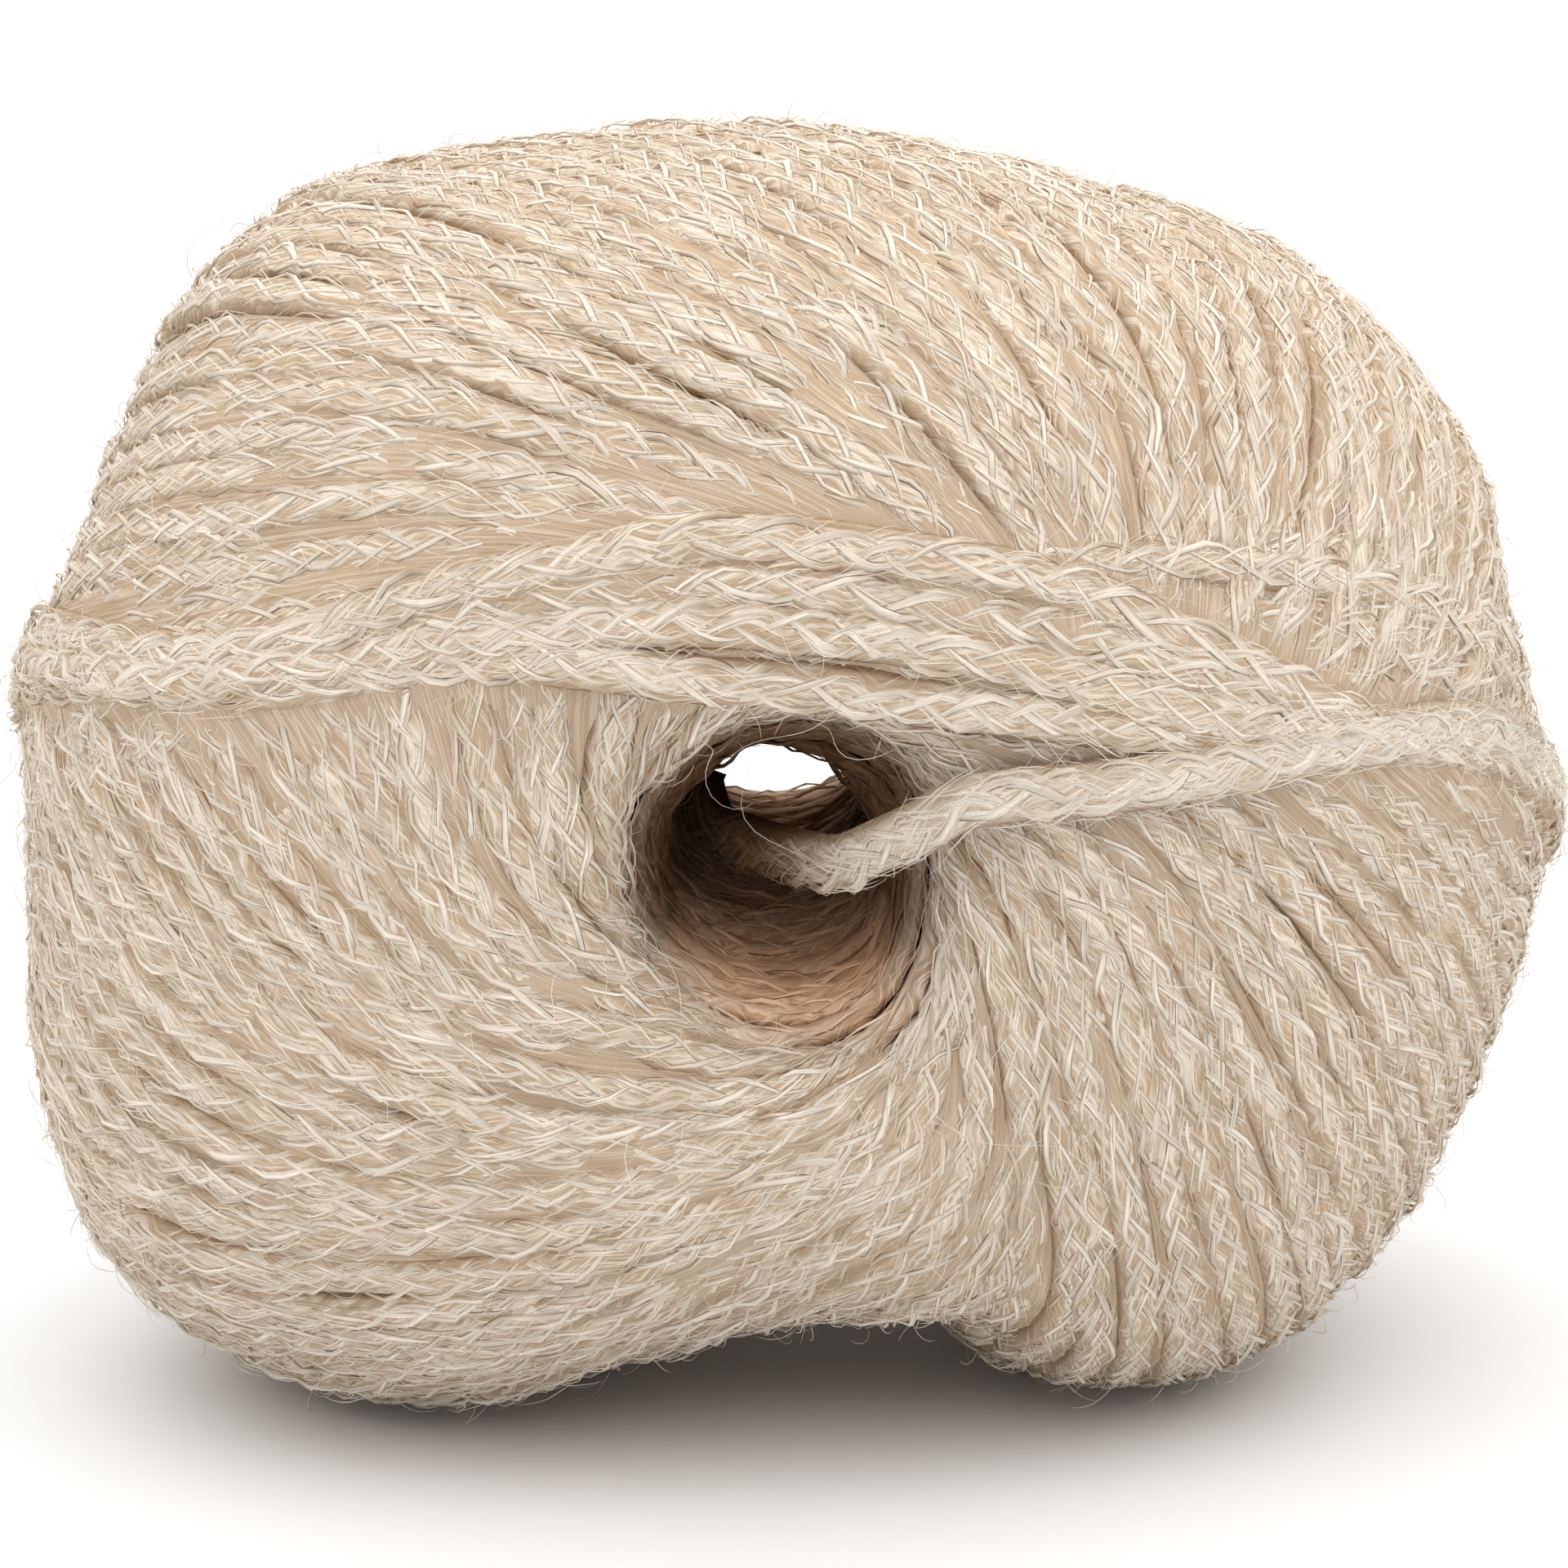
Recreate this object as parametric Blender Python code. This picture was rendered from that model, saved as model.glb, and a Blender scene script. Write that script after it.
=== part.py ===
"""Centre-eye ball of soft chainette yarn, standing on its side with its loose end tucked in the eye.

Two pieces are wound or laid by hand: the ball itself and the loose outer end. The ball is one
closed solid, a round of yarn with a hole (the eye) right through along Y. Every place on it has
two numbers: around, the angle about the eye from +X towards +Z, and across, a share that starts
halfway along the eye (0), comes out over the front lip, goes over the widest line (0.5), round the
back lip and ends halfway along the eye again (1).
"""
import bpy
import numpy as np

MM = 0.001

# Where the axis of the eye stands, and the thickness of the ball along it
EYE_AXIS_X = -0.2 * MM
EYE_AXIS_Y = 0.0 * MM
EYE_AXIS_HEIGHT = 46.4 * MM
HALF_DEPTH = 42.0 * MM
BOXY = 2.2                      # 2 would be an ellipse; a little more is a squarer shoulder

# The eye: waist radius halfway in, radius and depth of the rounded front and back lips
EYE_WAIST = 9.2 * MM
LIP_CREST = 16.0 * MM
LIP_DEPTH = 8.0 * MM
MOUTH_AT = 0.155                # across, where the tunnel meets the lip
CREST_AT = 0.205                # across, where the lip is furthest forward

# Widest line of the ball: (around in degrees, radius in mm) from the axis of the eye
OUTLINE = (
    (359, 56.1), (11, 55.6), (23, 57.6), (35, 56.0), (47, 53.8), (59, 50.2), (71, 48.4),
    (83, 47.9), (95, 48.5), (107, 49.6), (118, 52.9), (129, 56.9), (140, 57.4), (151, 55.9),
    (163, 55.4), (175, 55.9), (187, 57.0), (198, 60.2), (207, 62.9), (215, 63.6), (223, 61.4),
    (231, 58.7), (240, 54.4), (249, 47.8), (259, 43.0), (269, 40.4), (279, 41.0), (288, 46.0),
    (297, 52.7), (306, 56.9), (315, 58.3), (325, 58.2), (337, 57.5), (348, 57.2),
)
OUTLINE_BLUR = 9.0
# Mouth of the eye: (around in degrees, radius in mm)
MOUTH = (
    (0, 10.0), (45, 11.3), (90, 10.2), (135, 9.8), (180, 9.6), (225, 9.2), (270, 12.0),
    (300, 13.2), (330, 11.2),
)
MOUTH_BLUR = 25.0

# Seam where the last turn divides the ball in two regions: (around in degrees, across)
SEAM = (
    (3, 0.415), (8, 0.36), (12, 0.33), (19, 0.285), (32, 0.258), (51, 0.232), (65, 0.225),
    (81, 0.222), (99, 0.225), (119, 0.235), (135, 0.252), (148, 0.28), (157, 0.314),
    (163, 0.356), (169, 0.44), (174, 0.50), (180, 0.56), (188, 0.64), (199, 0.69), (214, 0.735),
    (234, 0.765), (264, 0.775), (294, 0.765), (317, 0.735), (332, 0.69), (342, 0.63),
    (349, 0.56), (355, 0.50),
)

# How fast a turn runs around while it goes across: (across, radians per unit of across)
TURN_SLOPE = ((0.10, 24.0), (0.20, 17.0), (0.24, 12.0), (0.28, 6.6), (0.32, 4.4), (0.36, 3.1),
              (0.42, 2.1), (0.50, 1.8))
# The same slope is stretched by the squashed shape: (around in degrees, factor)
UPPER_STRETCH = ((20, 0.7), (45, 0.75), (70, 1.35), (95, 1.45), (120, 1.3), (150, 0.8), (250, 1.0))
LOWER_STRETCH = ((0, 1.2), (90, 1.0), (170, 1.3), (190, 0.95), (210, 0.9), (240, 1.6), (260, 1.6),
                 (280, 0.9), (298, 0.5), (320, 0.65), (340, 1.1))

# Relief of the wound yarn
BUNDLES = 30                    # groups of turns that read as one ridge from a step away
BUNDLE_RELIEF = 0.9 * MM
TUNNEL_RINGS = 11
LATE_LIFT = 1.0 * MM            # the last turns lie on all the others
LATE_REACH = 9.0 * MM           # how far that lift is felt to either side
SEAM_FADE = 5.0 * MM            # the bundles flatten this close to the seam

# The four last turns, as (around in degrees, across) along each, and their real size
LAST_TURNS = (
    ((166.5, 0.459), (161.5, 0.359), (155.5, 0.316), (147, 0.289), (129.5, 0.260), (114.5, 0.254),
     (98.5, 0.250), (81, 0.247), (65, 0.250), (41.5, 0.264), (26, 0.283), (14, 0.316), (8.5, 0.355),
     (3.5, 0.416)),
    ((168.5, 0.465), (162.5, 0.357), (156.5, 0.315), (149.5, 0.285), (136, 0.259), (120, 0.242),
     (99.5, 0.234), (76.5, 0.230), (54.5, 0.238), (32, 0.261), (17, 0.297), (10.5, 0.335),
     (3.5, 0.413)),
    ((169.5, 0.460), (163.5, 0.356), (158, 0.314), (147.5, 0.273), (134.5, 0.245), (116.5, 0.228),
     (84, 0.215), (50.5, 0.226), (27, 0.254), (16, 0.291), (10.5, 0.335)),
    ((170.5, 0.453), (164, 0.354), (159.5, 0.311), (152.5, 0.281), (133, 0.230), (104.5, 0.199),
     (60.5, 0.199), (31.5, 0.230), (17.5, 0.274), (12, 0.318)),
)
TURN_HALF_WIDTH = 2.4 * MM
TURN_RELIEF = 2.0 * MM

# Valley between the two lower lobes: (around in degrees, across)
VALLEY = ((333, 0.075), (318, 0.12), (311, 0.16), (310, 0.208), (307, 0.239), (301, 0.269),
          (294, 0.321), (284, 0.42), (277, 0.50), (270, 0.60))
VALLEY_HALF_WIDTH = 4.6 * MM
VALLEY_DEPTH = 2.0 * MM

# The loose end: first along the surface, then hanging into the eye
LOOSE_DIAMETER = 4.5 * MM
LOOSE_GAP = 0.4 * MM
LOOSE_SINK = 1.3 * MM
# (around in degrees, across) of the part that lies on the ball
LOOSE_ON_BALL = ((3.5, 0.416), (5.5, 0.399), (8.5, 0.369), (11.5, 0.336), (12, 0.318), (13, 0.292), (14, 0.270),
                 (15.5, 0.249), (18, 0.229), (20.5, 0.210))
# (x, y, z) in mm from the middle of the eye of the part that hangs into it
LOOSE_IN_EYE = ((12.0, -43.5, 5.9), (9.2, -42.0, 4.0), (6.3, -39.5, 2.2), (3.6, -36.0, 0.3),
                (0.8, -30.0, -0.6), (-2.0, -23.0, -1.2), (-4.6, -16.0, -1.6), (-5.9, -10.0, -0.7),
                (-6.0, -4.5, 0.3))
LOOSE_POINTS = 44

AROUND_STEPS = 360
ACROSS_STEPS = 232
KEPT_SHARE = 0.058              # share of the fine faces that the finished solid keeps
FLOOR_BLOCK = 0.3               # m, side of the block that cuts the flat spots


def smooth_table(rows, blur):
    """Return a closed, softly rounded version of an (angle, value) table, one row per half degree."""
    rows = np.array(sorted(rows), float)
    angles = np.arange(0.0, 360.0, 0.5)
    knots = np.concatenate([rows[:, 0] - 360.0, rows[:, 0], rows[:, 0] + 360.0])
    values = np.interp(angles, knots, np.tile(rows[:, 1], 3))
    kernel = np.hanning(2 * int(blur / 0.5) + 3)
    reach = len(kernel) // 2
    padded = np.concatenate([values[-reach:], values, values[:reach]])
    rounded = np.convolve(padded, kernel / kernel.sum(), "valid")
    return np.append(angles, 360.0), np.append(rounded, rounded[0])


def read_table(table, around):
    """Read a closed table at angles given in radians."""
    return np.interp(np.degrees(around) % 360.0, table[0], table[1])


OUTLINE_TABLE = smooth_table(OUTLINE, OUTLINE_BLUR)
MOUTH_TABLE = smooth_table(MOUTH, MOUTH_BLUR)
SEAM_TABLE = smooth_table(SEAM, 4.0)


def shoulder_table():
    """Return (share of the way, angle of the superellipse) so that across runs evenly over it."""
    angle = np.linspace(0.0, np.pi / 2, 200)
    out = np.sin(angle) ** (2 / BOXY) * (57.0 * MM - LIP_CREST)
    back = np.cos(angle) ** (2 / BOXY) * HALF_DEPTH
    way = np.concatenate([[0.0], np.cumsum(np.hypot(np.diff(out), np.diff(back)))])
    return way / way[-1], angle


SHOULDER_TABLE = shoulder_table()


def surface_point(around, across):
    """Return points of the plain ball, before any relief, for arrays of around and across."""
    around, across = np.broadcast_arrays(np.asarray(around, float), np.asarray(across, float))
    across = across % 1.0
    in_front = across < 0.5
    half = np.where(in_front, across, 1.0 - across)
    outline = read_table(OUTLINE_TABLE, around) * MM
    mouth = read_table(MOUTH_TABLE, np.where(in_front, around, around + np.pi)) * MM
    share = np.clip((half - CREST_AT) / (0.5 - CREST_AT), 0.0, 1.0)
    angle = np.interp(share, *SHOULDER_TABLE)
    outer_radius = LIP_CREST + (outline - LIP_CREST) * np.sin(angle) ** (2 / BOXY)
    outer_depth = HALF_DEPTH * np.cos(angle) ** (2 / BOXY)
    lip = np.clip((CREST_AT - half) / (CREST_AT - MOUTH_AT), 0.0, 1.0) * np.pi / 2
    lip_radius = mouth + (LIP_CREST - mouth) * (1.0 - np.sin(lip))
    lip_depth = HALF_DEPTH - LIP_DEPTH * (1.0 - np.cos(lip))
    inward = np.clip(half / MOUTH_AT, 0.0, 1.0)
    ease = inward * inward * (3.0 - 2.0 * inward)
    tunnel_radius = EYE_WAIST + (mouth - EYE_WAIST) * ease
    tunnel_depth = (HALF_DEPTH - LIP_DEPTH) * inward
    radius = np.where(half >= CREST_AT, outer_radius,
                      np.where(half >= MOUTH_AT, lip_radius, tunnel_radius))
    depth = np.where(half >= CREST_AT, outer_depth,
                     np.where(half >= MOUTH_AT, lip_depth, tunnel_depth))
    return np.stack([EYE_AXIS_X + radius * np.cos(around),
                     EYE_AXIS_Y + np.where(in_front, -depth, depth),
                     EYE_AXIS_HEIGHT + radius * np.sin(around)], axis=-1)


def surface_normal(around, across, step=1e-3):
    """Return outward unit normals of the plain ball by central differences."""
    along = surface_point(around + step, across) - surface_point(around - step, across)
    over = surface_point(around, across + step) - surface_point(around, across - step)
    normal = np.cross(over, along)
    return normal / np.maximum(np.linalg.norm(normal, axis=-1, keepdims=True), 1e-12)


def smooth_route(points, count):
    """Return count evenly spaced points of a Catmull-Rom curve through the given points."""
    points = np.array(points, float)
    ends = np.vstack([2 * points[0] - points[1], points, 2 * points[-1] - points[-2]])
    t = np.linspace(0.0, 1.0, 24, endpoint=False)[:, None]
    pieces = []
    for a, b, c, d in zip(ends[:-3], ends[1:-2], ends[2:-1], ends[3:]):
        pieces.append(0.5 * (2 * b + (c - a) * t + (2 * a - 5 * b + 4 * c - d) * t ** 2
                             + (3 * b - a - 3 * c + d) * t ** 3))
    dense = np.vstack(pieces + [points[-1:]])
    way = np.concatenate([[0.0], np.cumsum(np.linalg.norm(np.diff(dense, axis=0), axis=1))])
    even = np.linspace(0.0, way[-1], count)
    return np.column_stack([np.interp(even, way, dense[:, axis]) for axis in range(points.shape[1])])


def loose_route():
    """Return the centreline of the loose end, from where it leaves the ball's side to its tip."""
    lie = smooth_route(LOOSE_ON_BALL, 24)
    around, across = np.radians(lie[:, 0]), lie[:, 1]
    above = LOOSE_DIAMETER / 2 + LOOSE_GAP - LOOSE_SINK
    on_ball = surface_point(around, across) + above * surface_normal(around, across)
    middle = np.array([EYE_AXIS_X, EYE_AXIS_Y, EYE_AXIS_HEIGHT])
    in_eye = middle + np.array(LOOSE_IN_EYE) * MM
    return smooth_route(np.vstack([on_ball[::4], in_eye]), LOOSE_POINTS)


def nearest(points, route):
    """Return the distance to, and the place of, the nearest point of a route for each point."""
    flat = points.reshape(-1, 3)
    best = np.full(len(flat), np.inf)
    place = np.zeros_like(flat)
    for start, end in zip(route[:-1], route[1:]):
        run = end - start
        t = np.clip((flat - start) @ run / (run @ run), 0.0, 1.0)
        spot = start + t[:, None] * run
        gap = np.linalg.norm(flat - spot, axis=1)
        closer = gap < best
        best[closer] = gap[closer]
        place[closer] = spot[closer]
    return best.reshape(points.shape[:-1]), place.reshape(points.shape)


def winding_phase(around, across, stretch, direction):
    """Return, in radians, where on the widest line the turn that shows at each place crosses it.

    On the way there the turn runs around by the slope table, stretched for the squashed shape.
    """
    knots = np.linspace(0.0, 1.0, 401)
    slope_at, slope = np.array(TURN_SLOPE).T
    rate = np.interp(np.minimum(knots, 1.0 - knots), slope_at, slope)
    run = np.concatenate([[0.0], np.cumsum((rate[1:] + rate[:-1]) / 2 * np.diff(knots))])
    angles, factor = smooth_table(stretch, 20.0)
    even = np.concatenate([[0.0], np.cumsum(np.diff(angles) / ((factor[1:] + factor[:-1]) / 2))])
    even *= 360.0 / even[-1]
    left = np.degrees(np.interp(0.5, knots, run) - np.interp(across, knots, run))
    crossing = np.interp(np.degrees(around) % 360.0, angles, even) + direction * left
    return np.radians(np.interp(crossing % 360.0, even, angles))


def closed_turn(line):
    """Return a whole turn: its front half, then the same half reflected through the middle."""
    line = np.array(line, float)
    behind = np.column_stack([line[:, 0] - 180.0, 1.0 - line[:, 1]])
    return np.vstack([line, behind, line[:1] - (360.0, 0.0)])


def relief(around, across, points, normals):
    """Return the height of the wound relief above the plain ball at each place of the grid."""
    seam = read_table(SEAM_TABLE, around)
    phase = np.where(across > seam, winding_phase(around, across, UPPER_STRETCH, 1),
                     winding_phase(around, across, LOWER_STRETCH, -1))
    seam_line = surface_point(np.radians(SEAM_TABLE[0][::6]), SEAM_TABLE[1][::6])
    from_seam = nearest(points, seam_line)[0]
    half = np.minimum(across, 1.0 - across)
    on_outside = np.clip((half - 0.19) / 0.05, 0.0, 1.0)
    beside_seam = np.clip(from_seam / SEAM_FADE, 0.0, 1.0)
    bundles = 0.5 + 0.5 * np.cos(BUNDLES * phase)
    rings = 0.5 + 0.5 * np.cos(2 * np.pi * TUNNEL_RINGS * across / MOUTH_AT / 2 + around)
    height = BUNDLE_RELIEF * (bundles * on_outside * beside_seam + 0.6 * rings * (1 - on_outside))
    height += LATE_LIFT * np.exp(-(from_seam / LATE_REACH) ** 2) * on_outside - 0.5 * BUNDLE_RELIEF

    for turn in LAST_TURNS:
        lie = smooth_route(closed_turn(turn), 120)
        gap = nearest(points, surface_point(np.radians(lie[:, 0]), lie[:, 1]))[0]
        height = np.maximum(height, TURN_RELIEF * np.exp(-(gap / TURN_HALF_WIDTH) ** 2))

    lie = smooth_route(VALLEY, 60)
    gap = nearest(points, surface_point(np.radians(lie[:, 0]), lie[:, 1]))[0]
    height -= VALLEY_DEPTH * np.exp(-(gap / VALLEY_HALF_WIDTH) ** 2)

    clear = LOOSE_DIAMETER / 2 + LOOSE_GAP
    gap, place = nearest(points, loose_route())
    reach = np.einsum("...i,...i->...", place - points, normals)
    beside = np.sqrt(np.maximum(gap ** 2 - reach ** 2, 0.0))
    room = reach - np.sqrt(np.maximum(clear ** 2 - beside ** 2, 0.0))
    return np.where((beside < clear) & (gap < 3 * clear), np.minimum(height, room), height)


def new_material(name, colour, roughness):
    """Return a Principled material of one plain colour."""
    material = bpy.data.materials.new(name)
    material.use_nodes = True
    shader = material.node_tree.nodes["Principled BSDF"]
    shader.inputs["Base Color"].default_value = colour
    shader.inputs["Roughness"].default_value = roughness
    shader.inputs["Metallic"].default_value = 0.0
    return material


def link(data, name, material):
    """Make an object of a mesh or curve, give it its material and put it in the scene."""
    made = bpy.data.objects.new(name, data)
    if material is not None:
        data.materials.append(material)
    bpy.context.scene.collection.objects.link(made)
    return made


def make_floor_cutter():
    """Return a block under the floor; it cuts the two flat spots the ball rests on."""
    side = FLOOR_BLOCK / 2
    corners = [(x, y, z) for z in (-side, 0.0) for y in (-side, side) for x in (-side, side)]
    faces = [(0, 2, 3, 1), (4, 5, 7, 6), (0, 1, 5, 4), (1, 3, 7, 5), (3, 2, 6, 7), (2, 0, 4, 6)]
    mesh = bpy.data.meshes.new("floor_cutter")
    mesh.from_pydata(corners, [], faces)
    cutter = link(mesh, "floor_cutter", None)
    cutter.hide_render = True
    cutter.display_type = "WIRE"
    return cutter


def make_ball(material, cutter):
    """Build the wound ball: the plain surface, its relief, fewer faces, then the flat spots."""
    turned = np.linspace(0.0, 2 * np.pi, AROUND_STEPS, endpoint=False)
    shares = np.linspace(0.0, 1.0, ACROSS_STEPS, endpoint=False)
    around, across = np.meshgrid(turned, shares, indexing="ij")
    plain = surface_point(around, across)
    normals = surface_normal(around, across)
    points = plain + normals * relief(around, across, plain, normals)[..., None]
    index = np.arange(AROUND_STEPS * ACROSS_STEPS).reshape(AROUND_STEPS, ACROSS_STEPS)
    next_around = np.roll(index, -1, axis=0)
    faces = np.stack([index, np.roll(index, -1, axis=1), np.roll(next_around, -1, axis=1),
                      next_around], axis=-1).reshape(-1, 4)
    mesh = bpy.data.meshes.new("wound_ball")
    mesh.from_pydata(points.reshape(-1, 3).tolist(), [], faces.tolist())
    mesh.polygons.foreach_set("use_smooth", np.ones(len(faces), bool))
    ball = link(mesh, "wound_ball", material)
    fewer = ball.modifiers.new("fewer_faces", "DECIMATE")
    fewer.ratio = KEPT_SHARE
    flat = ball.modifiers.new("flat_spots", "BOOLEAN")
    flat.operation = "DIFFERENCE"
    flat.solver = "EXACT"
    flat.object = cutter
    return ball


def make_loose_end(material):
    """Build the loose end: a round tube along its route, closed at both tips."""
    curve = bpy.data.curves.new("loose_end", "CURVE")
    curve.dimensions = "3D"
    curve.bevel_depth = LOOSE_DIAMETER / 2
    curve.bevel_resolution = 2
    curve.use_fill_caps = True
    route = loose_route()
    spline = curve.splines.new("POLY")
    spline.points.add(len(route) - 1)
    spline.points.foreach_set("co", np.column_stack([route, np.ones(len(route))]).ravel())
    spline.use_smooth = True
    return link(curve, "loose_end", material)


def main():
    """Clear the scene and build the two pieces."""
    for old in list(bpy.data.objects):
        bpy.data.objects.remove(old, do_unlink=True)
    yarn = new_material("cream_yarn", (0.72, 0.61, 0.48, 1.0), 0.95)
    tail = new_material("cream_loose_end", (0.74, 0.64, 0.51, 1.0), 0.95)
    make_ball(yarn, make_floor_cutter())
    make_loose_end(tail)


main()
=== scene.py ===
# %% [markdown]
# # A wound ball of chainette yarn
#
# The real object is one long strand. The strand itself is a small chain, worked from soft hair
# that is then brushed, and a machine winds it over a bar so that every turn leans a little and
# touches the bar. When the bar is drawn out it leaves an eye right through the ball. The ball
# here stands on its side, with the eye towards the camera and the outer end tucked into it.
#
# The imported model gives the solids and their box. Everything below is in metres, in that frame.

import bpy
import numpy as np
from mathutils import Matrix, Vector


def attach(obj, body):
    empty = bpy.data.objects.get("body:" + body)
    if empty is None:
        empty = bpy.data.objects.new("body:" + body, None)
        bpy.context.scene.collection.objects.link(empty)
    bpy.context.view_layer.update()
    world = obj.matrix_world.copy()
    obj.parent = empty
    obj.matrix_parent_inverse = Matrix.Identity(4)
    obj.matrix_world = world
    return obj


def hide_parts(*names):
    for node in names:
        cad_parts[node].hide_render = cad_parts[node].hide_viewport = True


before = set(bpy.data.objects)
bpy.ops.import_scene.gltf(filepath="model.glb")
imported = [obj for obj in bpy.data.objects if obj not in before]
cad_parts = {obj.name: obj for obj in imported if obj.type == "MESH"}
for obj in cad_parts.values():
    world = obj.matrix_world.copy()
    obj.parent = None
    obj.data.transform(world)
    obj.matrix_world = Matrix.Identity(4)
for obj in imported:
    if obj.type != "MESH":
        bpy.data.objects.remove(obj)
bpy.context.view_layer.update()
MM = 0.001


def add_object(name, data):
    """Put a new object into the scene."""
    made = bpy.data.objects.new(name, data)
    bpy.context.scene.collection.objects.link(made)
    return made


# %% [markdown]
# ## The ball as two numbers
#
# Every place on the ball has two numbers. `around` is the angle about the axis of the eye, from
# +X towards +Z. `across` is a share: 0 is halfway along the eye, 0.2 the front lip, 0.5 the widest
# line, 0.8 the back lip, and 1 is halfway along the eye again. The solid was made from the same
# formula, so whatever is laid on it here stays where the solid is. Only the mouth of the eye was
# measured once more, and lies up to 2 mm from the solid's. The tables hold measured radii of the
# widest line and of that mouth; a short blur rounds their corners.

# %% Measured radii
EYE_AXIS = np.array([-0.2, 0.0, 46.4]) * MM
HALF_DEPTH = 42.0 * MM
BOXY = 2.2
EYE_WAIST = 9.2 * MM
LIP_CREST = 16.0 * MM
LIP_DEPTH = 8.0 * MM
MOUTH_AT = 0.155
CREST_AT = 0.205
# (around in degrees, radius in mm)
OUTLINE = (
    (359, 56.1), (11, 55.6), (23, 57.6), (35, 56.0), (47, 53.8), (59, 50.2), (71, 48.4),
    (83, 47.9), (95, 48.5), (107, 49.6), (118, 52.9), (129, 56.9), (140, 57.4), (151, 55.9),
    (163, 55.4), (175, 55.9), (187, 57.0), (198, 60.2), (207, 62.9), (215, 63.6), (223, 61.4),
    (231, 58.7), (240, 54.4), (249, 47.8), (259, 43.0), (269, 40.4), (279, 41.0), (288, 46.0),
    (297, 52.7), (306, 56.9), (315, 58.3), (325, 58.2), (337, 57.5), (348, 57.2),
)
MOUTH = (
    (0, 9.2), (45, 10.6), (90, 10.2), (135, 10.6), (180, 11.4), (225, 10.8), (270, 12.3),
    (300, 12.0), (330, 9.6),
)


def smooth_table(rows, blur):
    """Return a closed (angle, value) table, blurred by a raised cosine `blur` degrees wide."""
    rows = np.array(sorted(rows), float)
    angles = np.arange(0.0, 360.0, 0.5)
    knots = np.concatenate([rows[:, 0] - 360.0, rows[:, 0], rows[:, 0] + 360.0])
    values = np.interp(angles, knots, np.tile(rows[:, 1], 3))
    kernel = np.hanning(2 * int(blur / 0.5) + 3)
    reach = len(kernel) // 2
    padded = np.concatenate([values[-reach:], values, values[:reach]])
    rounded = np.convolve(padded, kernel / kernel.sum(), "valid")
    return np.append(angles, 360.0), np.append(rounded, rounded[0])


def length_along(points):
    """Return the way along a polyline at each of its points."""
    return np.concatenate([[0.0], np.cumsum(np.linalg.norm(np.diff(points, axis=0), axis=1))])


def read_table(table, around):
    """Read a closed table at angles in radians."""
    return np.interp(np.degrees(around) % 360.0, table[0], table[1])


OUTLINE_TABLE = smooth_table(OUTLINE, 9.0)
MOUTH_TABLE = smooth_table(MOUTH, 25.0)
print("widest radius %.1f mm" % OUTLINE_TABLE[1].max())

# %% The plain surface
shoulder = np.linspace(0.0, np.pi / 2, 200)
shoulder_out = np.sin(shoulder) ** (2 / BOXY) * (57.0 * MM - LIP_CREST)
shoulder_back = np.cos(shoulder) ** (2 / BOXY) * HALF_DEPTH
shoulder_way = np.concatenate(
    [[0.0], np.cumsum(np.hypot(np.diff(shoulder_out), np.diff(shoulder_back)))])
shoulder_way /= shoulder_way[-1]


def surface_point(around, across):
    """Return points of the plain ball.

    Outside the lip: radius = crest + (outline - crest) sin(a)^(2/n), depth = D cos(a)^(2/n), a
    superellipse quarter with n = BOXY. The lip is a quarter of an ellipse, and the eye narrows
    from its mouth to its waist by the smooth step 3h^2 - 2h^3.
    """
    around, across = np.broadcast_arrays(np.asarray(around, float), np.asarray(across, float))
    across = across % 1.0
    in_front = across < 0.5
    half = np.where(in_front, across, 1.0 - across)
    outline = read_table(OUTLINE_TABLE, around) * MM
    mouth = read_table(MOUTH_TABLE, np.where(in_front, around, around + np.pi)) * MM
    share = np.clip((half - CREST_AT) / (0.5 - CREST_AT), 0.0, 1.0)
    angle = np.interp(share, shoulder_way, shoulder)
    outer_radius = LIP_CREST + (outline - LIP_CREST) * np.sin(angle) ** (2 / BOXY)
    outer_depth = HALF_DEPTH * np.cos(angle) ** (2 / BOXY)
    lip = np.clip((CREST_AT - half) / (CREST_AT - MOUTH_AT), 0.0, 1.0) * np.pi / 2
    lip_radius = mouth + (LIP_CREST - mouth) * (1.0 - np.sin(lip))
    lip_depth = HALF_DEPTH - LIP_DEPTH * (1.0 - np.cos(lip))
    inward = np.clip(half / MOUTH_AT, 0.0, 1.0)
    ease = inward * inward * (3.0 - 2.0 * inward)
    tunnel_radius = EYE_WAIST + (mouth - EYE_WAIST) * ease
    tunnel_depth = (HALF_DEPTH - LIP_DEPTH) * inward
    on_lip = half >= MOUTH_AT
    radius = np.where(half >= CREST_AT, outer_radius, np.where(on_lip, lip_radius, tunnel_radius))
    depth = np.where(half >= CREST_AT, outer_depth, np.where(on_lip, lip_depth, tunnel_depth))
    return EYE_AXIS + np.stack([radius * np.cos(around), np.where(in_front, -depth, depth),
                                radius * np.sin(around)], axis=-1)


def surface_normal(around, across, step=4e-3):
    """Return outward unit normals: the cross product of two central differences."""
    along = surface_point(around + step, across) - surface_point(around - step, across)
    over = surface_point(around, across + step) - surface_point(around, across - step)
    normal = np.cross(over, along)
    return normal / np.maximum(np.linalg.norm(normal, axis=-1, keepdims=True), 1e-12)


widest = surface_point(np.linspace(0, 2 * np.pi, 721), 0.5)
WIDEST_LENGTH = length_along(widest)[-1]
print("widest line: %.0f mm round" % (WIDEST_LENGTH / MM))

# %% [markdown]
# ## Camera
#
# The photograph looks at the eye from a little above, and from near enough that the sides of the
# ball fall away. The camera sits 0.4 m from the middle, 11.5 degrees up and 1 degree to the left,
# with a long lens. It comes first, so that each piece can be judged as it is made. It is rolled by
# 1 degree and shifted by about a hundredth of the frame.

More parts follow.
